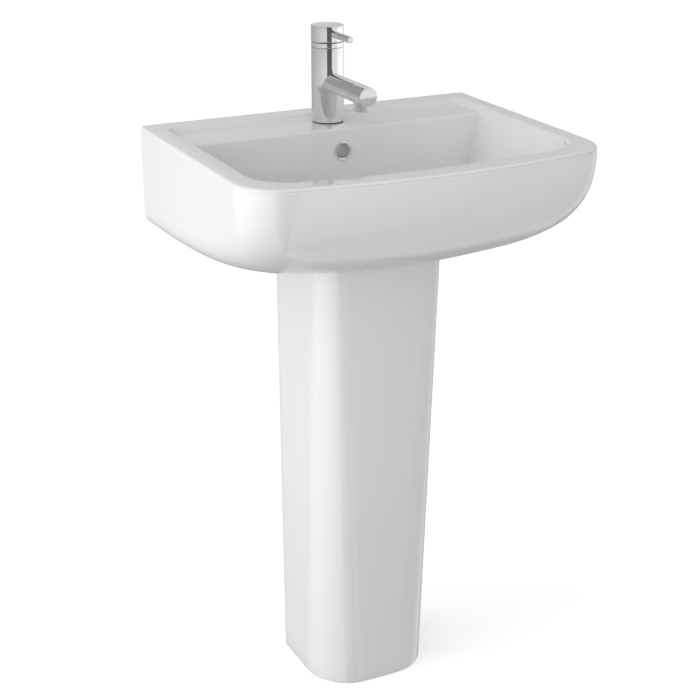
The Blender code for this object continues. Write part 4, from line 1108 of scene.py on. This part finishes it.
def joined(target, *others):
    """Puts the others' faces into the target's mesh."""
    mesh = bmesh.new()
    for obj in (target, *others):
        mesh.from_mesh(obj.data)
    mesh.to_mesh(target.data)
    mesh.free()
    for other in others:
        bpy.data.objects.remove(other, do_unlink=True)
    return shaded(target, 40)


def centred(node, level=0.0):
    """The upright axis of a node, at this height."""
    spot = middle(node)
    return Vector((spot.x, spot.y, level))


def ribbed_nut(node, place, turn, start, end, taper):
    """A round plastic nut with rolled edges and finger ribs, from start to end on its axis."""
    bore, radius, rib, roll = WASTE_THREAD_RADIUS + GAP, radius_of(node), 0.0011, 0.0016
    nut = lathed(f"{node}_ribbed", [
        (bore, start), (radius - 0.0024, start), (radius - rib, start + roll),
        (radius - rib, end - roll), (radius - taper, end), (bore, end)],
        place, turn, ring=True, soft=0.0006)
    centre = place + Euler(turn).to_matrix() @ Vector((0, 0, (start + end) / 2))
    ribs = grown(f"{node}_ribs", GRIP, FINISHES["white_plastic"], centre, turn, Count=28,
                 Radius=radius - rib - 0.0001, Rib_Radius=rib, Height=end - start - 0.0050)
    return joined(nut, ribs)


def make_trap():
    """The bottle trap: body with its branch, ribbed cup and nuts, pipe and wall flange."""
    body_low, body_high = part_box("trap_body")
    cup_low, cup_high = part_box("trap_cup")
    radius = radius_of("trap_body")
    cup_radius = radius_of("trap_cup")
    pipe_radius = radius_of("outlet_pipe")
    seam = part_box("trap_cup_seal")[1].z + 0.0003
    shoulder = down(0.205)
    axis = centred("trap_cup")
    branch_place = Vector((0, WASTE_Y, middle("outlet_pipe").z))
    reach = reach_of("trap_body", WASTE_Y)[1]
    body = lathed("trap_bottle", [
        (0.0135, body_low.z), (0.0155, body_low.z), (0.0155, shoulder - 0.003),
        (radius - 0.003, shoulder - 0.003), (radius - 0.003, seam), (radius, seam),
        (radius, shoulder - 0.006), (radius - 0.0055, shoulder), (WASTE_THREAD_RADIUS, shoulder),
        (WASTE_THREAD_RADIUS, body_high.z), (0.0135, body_high.z)], axis, ring=True, soft=0.0012)
    neck = lathed("trap_neck", [
        (0, radius - 0.004), (0.0235, radius - 0.004), (WASTE_THREAD_RADIUS, radius + 0.004),
        (WASTE_THREAD_RADIUS, reach), (0, reach)], branch_place, BACKWARD, soft=0.001)
    combined(body, neck, operation="UNION")
    combined(body, rod("neck_bore", pipe_radius + HAIRLINE, 0.020, reach + PAST, branch_place,
                       BACKWARD))
    shaded(body, 40)

    cup = lathed("trap_cup_turned", [
        (0, cup_low.z), (cup_radius - 0.012, cup_low.z), (cup_radius - 0.005, cup_low.z + 0.004),
        (cup_radius - 0.0012, cup_high.z - 0.024), (cup_radius - 0.0012, cup_high.z - 0.001),
        (cup_radius - 0.0022, cup_high.z), (cup_radius - 0.0030, cup_high.z),
        (cup_radius - 0.0030, seam - 0.0026), (radius - 0.004, seam - 0.0026),
        (radius - 0.006, cup_low.z + 0.010), (radius - 0.014, cup_low.z + 0.003),
        (0, cup_low.z + 0.003)], axis, soft=0.0012)
    grip_height = 0.018
    ribs = grown("trap_cup_ribs", GRIP, FINISHES["white_plastic"],
                 axis + Vector((0, 0, cup_high.z - 0.003 - grip_height / 2)), Count=36,
                 Radius=cup_radius - 0.0013, Rib_Radius=0.0012, Height=grip_height)
    cup = joined(cup, ribs)
    nut_low, nut_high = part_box("trap_inlet_nut")
    inlet = ribbed_nut("trap_inlet_nut", centred("trap_inlet_nut", nut_low.z), (0, 0, 0), 0,
                       nut_high.z - nut_low.z, 0.0024)
    outlet = ribbed_nut("trap_outlet_nut", branch_place, BACKWARD,
                        *reach_of("trap_outlet_nut", WASTE_Y), 0.0035)
    near, far = reach_of("outlet_pipe", WASTE_Y)
    bore = pipe_radius - 0.0022
    pipe = lathed("trap_pipe", [
        (bore, near), (pipe_radius, near), (pipe_radius, far), (bore, far)],
        branch_place, BACKWARD, ring=True, soft=0.0006)
    near, wall = reach_of("outlet_wall_flange", WASTE_Y)
    wide = radius_of("outlet_wall_flange")
    flange = lathed("wall_rosette", [
        (pipe_radius + GAP, near), (pipe_radius + 0.003, near),
        (pipe_radius + 0.0065, near + 0.003), (wide - 0.004, wall - 0.0024),
        (wide, wall - 0.0008), (wide, wall), (pipe_radius + GAP, wall)],
        branch_place, BACKWARD, ring=True, soft=0.0012)
    return body, cup, inlet, outlet, pipe, flange


def threaded_rod(node, finish, axis_turn, pitch):
    """A stud or bolt: a chamfered core with a rolled thread, along its node's long axis."""
    low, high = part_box(node)
    start = middle(node)
    if axis_turn == (0, 0, 0):
        along, length, start.z = Vector((0, 0, 1)), high.z - low.z, low.z
    else:
        along, length, start.y = Vector((0, -1, 0)), high.y - low.y, high.y
    core = radius_of(node) - pitch * RIDGE_SHARE
    rod_mesh = lathed(f"{node}_threaded", [
        (0, 0), (core - 0.0006, 0), (core, 0.0006), (core, length - 0.0012),
        (core - 0.0008, length), (0, length)], start, axis_turn, steps=40, soft=0)
    ridge = grown(f"{node}_ridge", THREAD, finish, start + along * pitch, axis_turn,
                  Radius=core + 0.00002, Length=length - 2.6 * pitch, Pitch=pitch)
    return joined(rod_mesh, ridge)


# ---- assembly -----------------------------------------------------------------------------


def slot_of(node):
    return frame["nodes"][node].data.materials[0].name.split(".")[0]


def body_of(node):
    bodies = frame["record"]["behaviour"]["bodies"]
    return next(body for body, members in bodies.items() if node in members)


def dressed(piece, body, slot):
    piece.data.materials.clear()
    piece.data.materials.append(FINISHES[slot])
    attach(piece, body)


def stands_for(piece, node):
    """Gives a piece the finish, body and place in the table of the node that it replaces."""
    dressed(piece, body_of(node), slot_of(node))
    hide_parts(node)


def stand_in_turn(pieces, nodes):
    for piece, node in zip(pieces, nodes.split()):
        stands_for(piece, node)


def assemble():
    stands_for(make_basin(), "basin")
    stands_for(make_pedestal(), "pedestal")
    steel = FINISHES["steel"]
    stand_in_turn(make_tap(), "tap_body tap_spout spout_end aerator_housing bezel_ring "
                  "handle_cap lever_pin")
    stands_for(make_overflow(), "overflow_ring")
    fitting, plug = make_waste()
    thread = grown("waste_thread", THREAD, FINISHES["chrome"],
                   WASTE_AXIS - Vector((0, 0, WASTE_Z - WASTE_LOW.z - 0.0015)),
                   Radius=WASTE_THREAD_RADIUS - 0.0008, Length=0.058, Pitch=WASTE_PITCH)
    stands_for(joined(fitting, cross_bored(thread, 0.0042)), "waste_body")
    stands_for(plug, "plug_cap")
    stand_in_turn(make_trap(), "trap_body trap_cup trap_inlet_nut trap_outlet_nut outlet_pipe "
                  "outlet_wall_flange")
    stands_for(threaded_rod("fixing_stud", steel, (0, 0, 0), STUD_PITCH), "fixing_stud")
    for bolt in ("wall_bolt_left", "wall_bolt_right"):
        stands_for(threaded_rod(bolt, steel, FORWARD, BOLT_PITCH), bolt)
    screen = grown("aerator_screen_mesh", SCREEN, steel,
                   (0, middle("aerator_insert").y, NOZZLE_LOW.z + 0.0008),
                   Wires=13, Radius=0.0087)
    dressed(screen, "stand", "steel")
    for name, node in frame["nodes"].items():
        node.data.materials[0] = FINISHES[slot_of(name)]


assemble()

# ---- studio -------------------------------------------------------------------------------

# Brightness of the surroundings that polished surfaces show, as (degrees, level) round the room:
# 0 is straight in front, 90 to the right and -90 to the left.
LOW_ROOM = ((-180, 0.58), (-154, 0.60), (-132, 0.66), (-104, 0.76), (-60, 0.92), (-31, 1.00),
            (-27, 0.16), (3, 0.16), (7, 1.08), (45, 1.10), (52, 1.50), (112, 1.50), (130, 0.72),
            (154, 0.56), (180, 0.58))
HIGH_ROOM = ((-180, 0.08), (-177, 0.08), (-174, 0.42), (-150, 0.45), (-90, 0.60), (-31, 0.72),
             (-27, 0.12), (3, 0.12), (7, 0.86), (60, 1.0), (120, 1.0), (150, 0.72), (171, 1.05),
             (175, 0.08), (180, 0.08))


def sky():
    """Soft surroundings, lit from the left and above, with a dark screen before the basin."""
    world = bpy.data.worlds.new("studio")
    bpy.context.scene.world = world
    world.use_nodes = True
    tree = world.node_tree
    tree.nodes.clear()
    wires = Wire(tree)
    toward = wires.node("ShaderNodeTexCoord", output=0)
    across, along, up = (wires.node("ShaderNodeSeparateXYZ", None, {"Vector": toward}, axis)
                         for axis in range(3))
    left = (across * -1).larger(0)
    front = (along * -1).larger(0)
    below = (up * -1).larger(0)
    ahead = front * up.between(-0.30, 0.10) * 0.20
    slanting = left * (up.larger(0) * 1.55 + below * 0.85)
    soft = (0.45 + left * 0.56 + slanting + ahead) * (
        1 - below * (1 - left)).larger(0.05)
    turn = wires.sum("ARCTAN2", across, along * -1) / (2 * math.pi) + 0.5
    low, high = (wires.node("ShaderNodeValToRGB", {"stops": [
        (degrees / 360 + 0.5, (level, level, level, 1)) for degrees, level in room]},
        {"Fac": turn}) for room in (LOW_ROOM, HIGH_ROOM))
    seen = low + (high - low) * up.between(-0.16, 0.06)
    camera_ray = wires.node("ShaderNodeLightPath")
    glossy_ray = wires.node("ShaderNodeLightPath", output=3)
    level = soft + (seen - soft) * glossy_ray
    level = level + (1 - level) * camera_ray
    background = wires.node("ShaderNodeBackground", None, {"Strength": level})
    out_node = tree.nodes.new("ShaderNodeOutputWorld")
    tree.links.new(background.socket, out_node.inputs[0])


def aim(obj, target):
    obj.rotation_euler = (Vector(target) - obj.location).to_track_quat("-Z", "Y").to_euler()


def area_light(name, place, target, width, power):
    light = bpy.data.lights.new(name, "AREA")
    light.shape = "SQUARE"
    light.size = width
    light.energy = power
    lamp = bpy.data.objects.new(name, light)
    bpy.context.scene.collection.objects.link(lamp)
    lamp.visible_glossy = False
    lamp.location = place
    aim(lamp, target)


def floor():
    """A pale, shadowless floor just under the foot."""
    half, height = 12.0, -0.0005
    mesh = bmesh.new()
    mesh.faces.new([mesh.verts.new((x, y, height)) for x, y in
                    ((-half, -half), (half, -half), (half, half), (-half, half))])
    plane = piece_of("studio_floor", mesh)
    pale = Finish("studio_white", (0.90, 0.90, 0.90), 0.9, Emission_Color=(1, 1, 1, 1),
                  Emission_Strength=0.46)
    pale.vary("Roughness", 0.85 + pale.noise(3) * 0.1)
    plane.data.materials.append(pale.material)
    plane.visible_diffuse = False
    plane.visible_glossy = False


sky()
area_light("left_softbox", (-1.2, 0.0, 0.75), (0, 0, 0.75), 0.6, 3.9)
area_light("front_softbox", (-0.15, -1.5, 0.95), (0, 0, 0.85), 0.8, 3.8)
floor()

camera = bpy.data.objects.new("camera", bpy.data.cameras.new("camera"))
bpy.context.scene.collection.objects.link(camera)
camera.location = (-0.98487, -1.92133, 1.39601)
aim(camera, (0, 0.0792, 0.5275))
camera.data.lens = 79.2
camera.data.sensor_width = 36
bpy.context.scene.camera = camera
bpy.context.scene.view_settings.view_transform = "Standard"
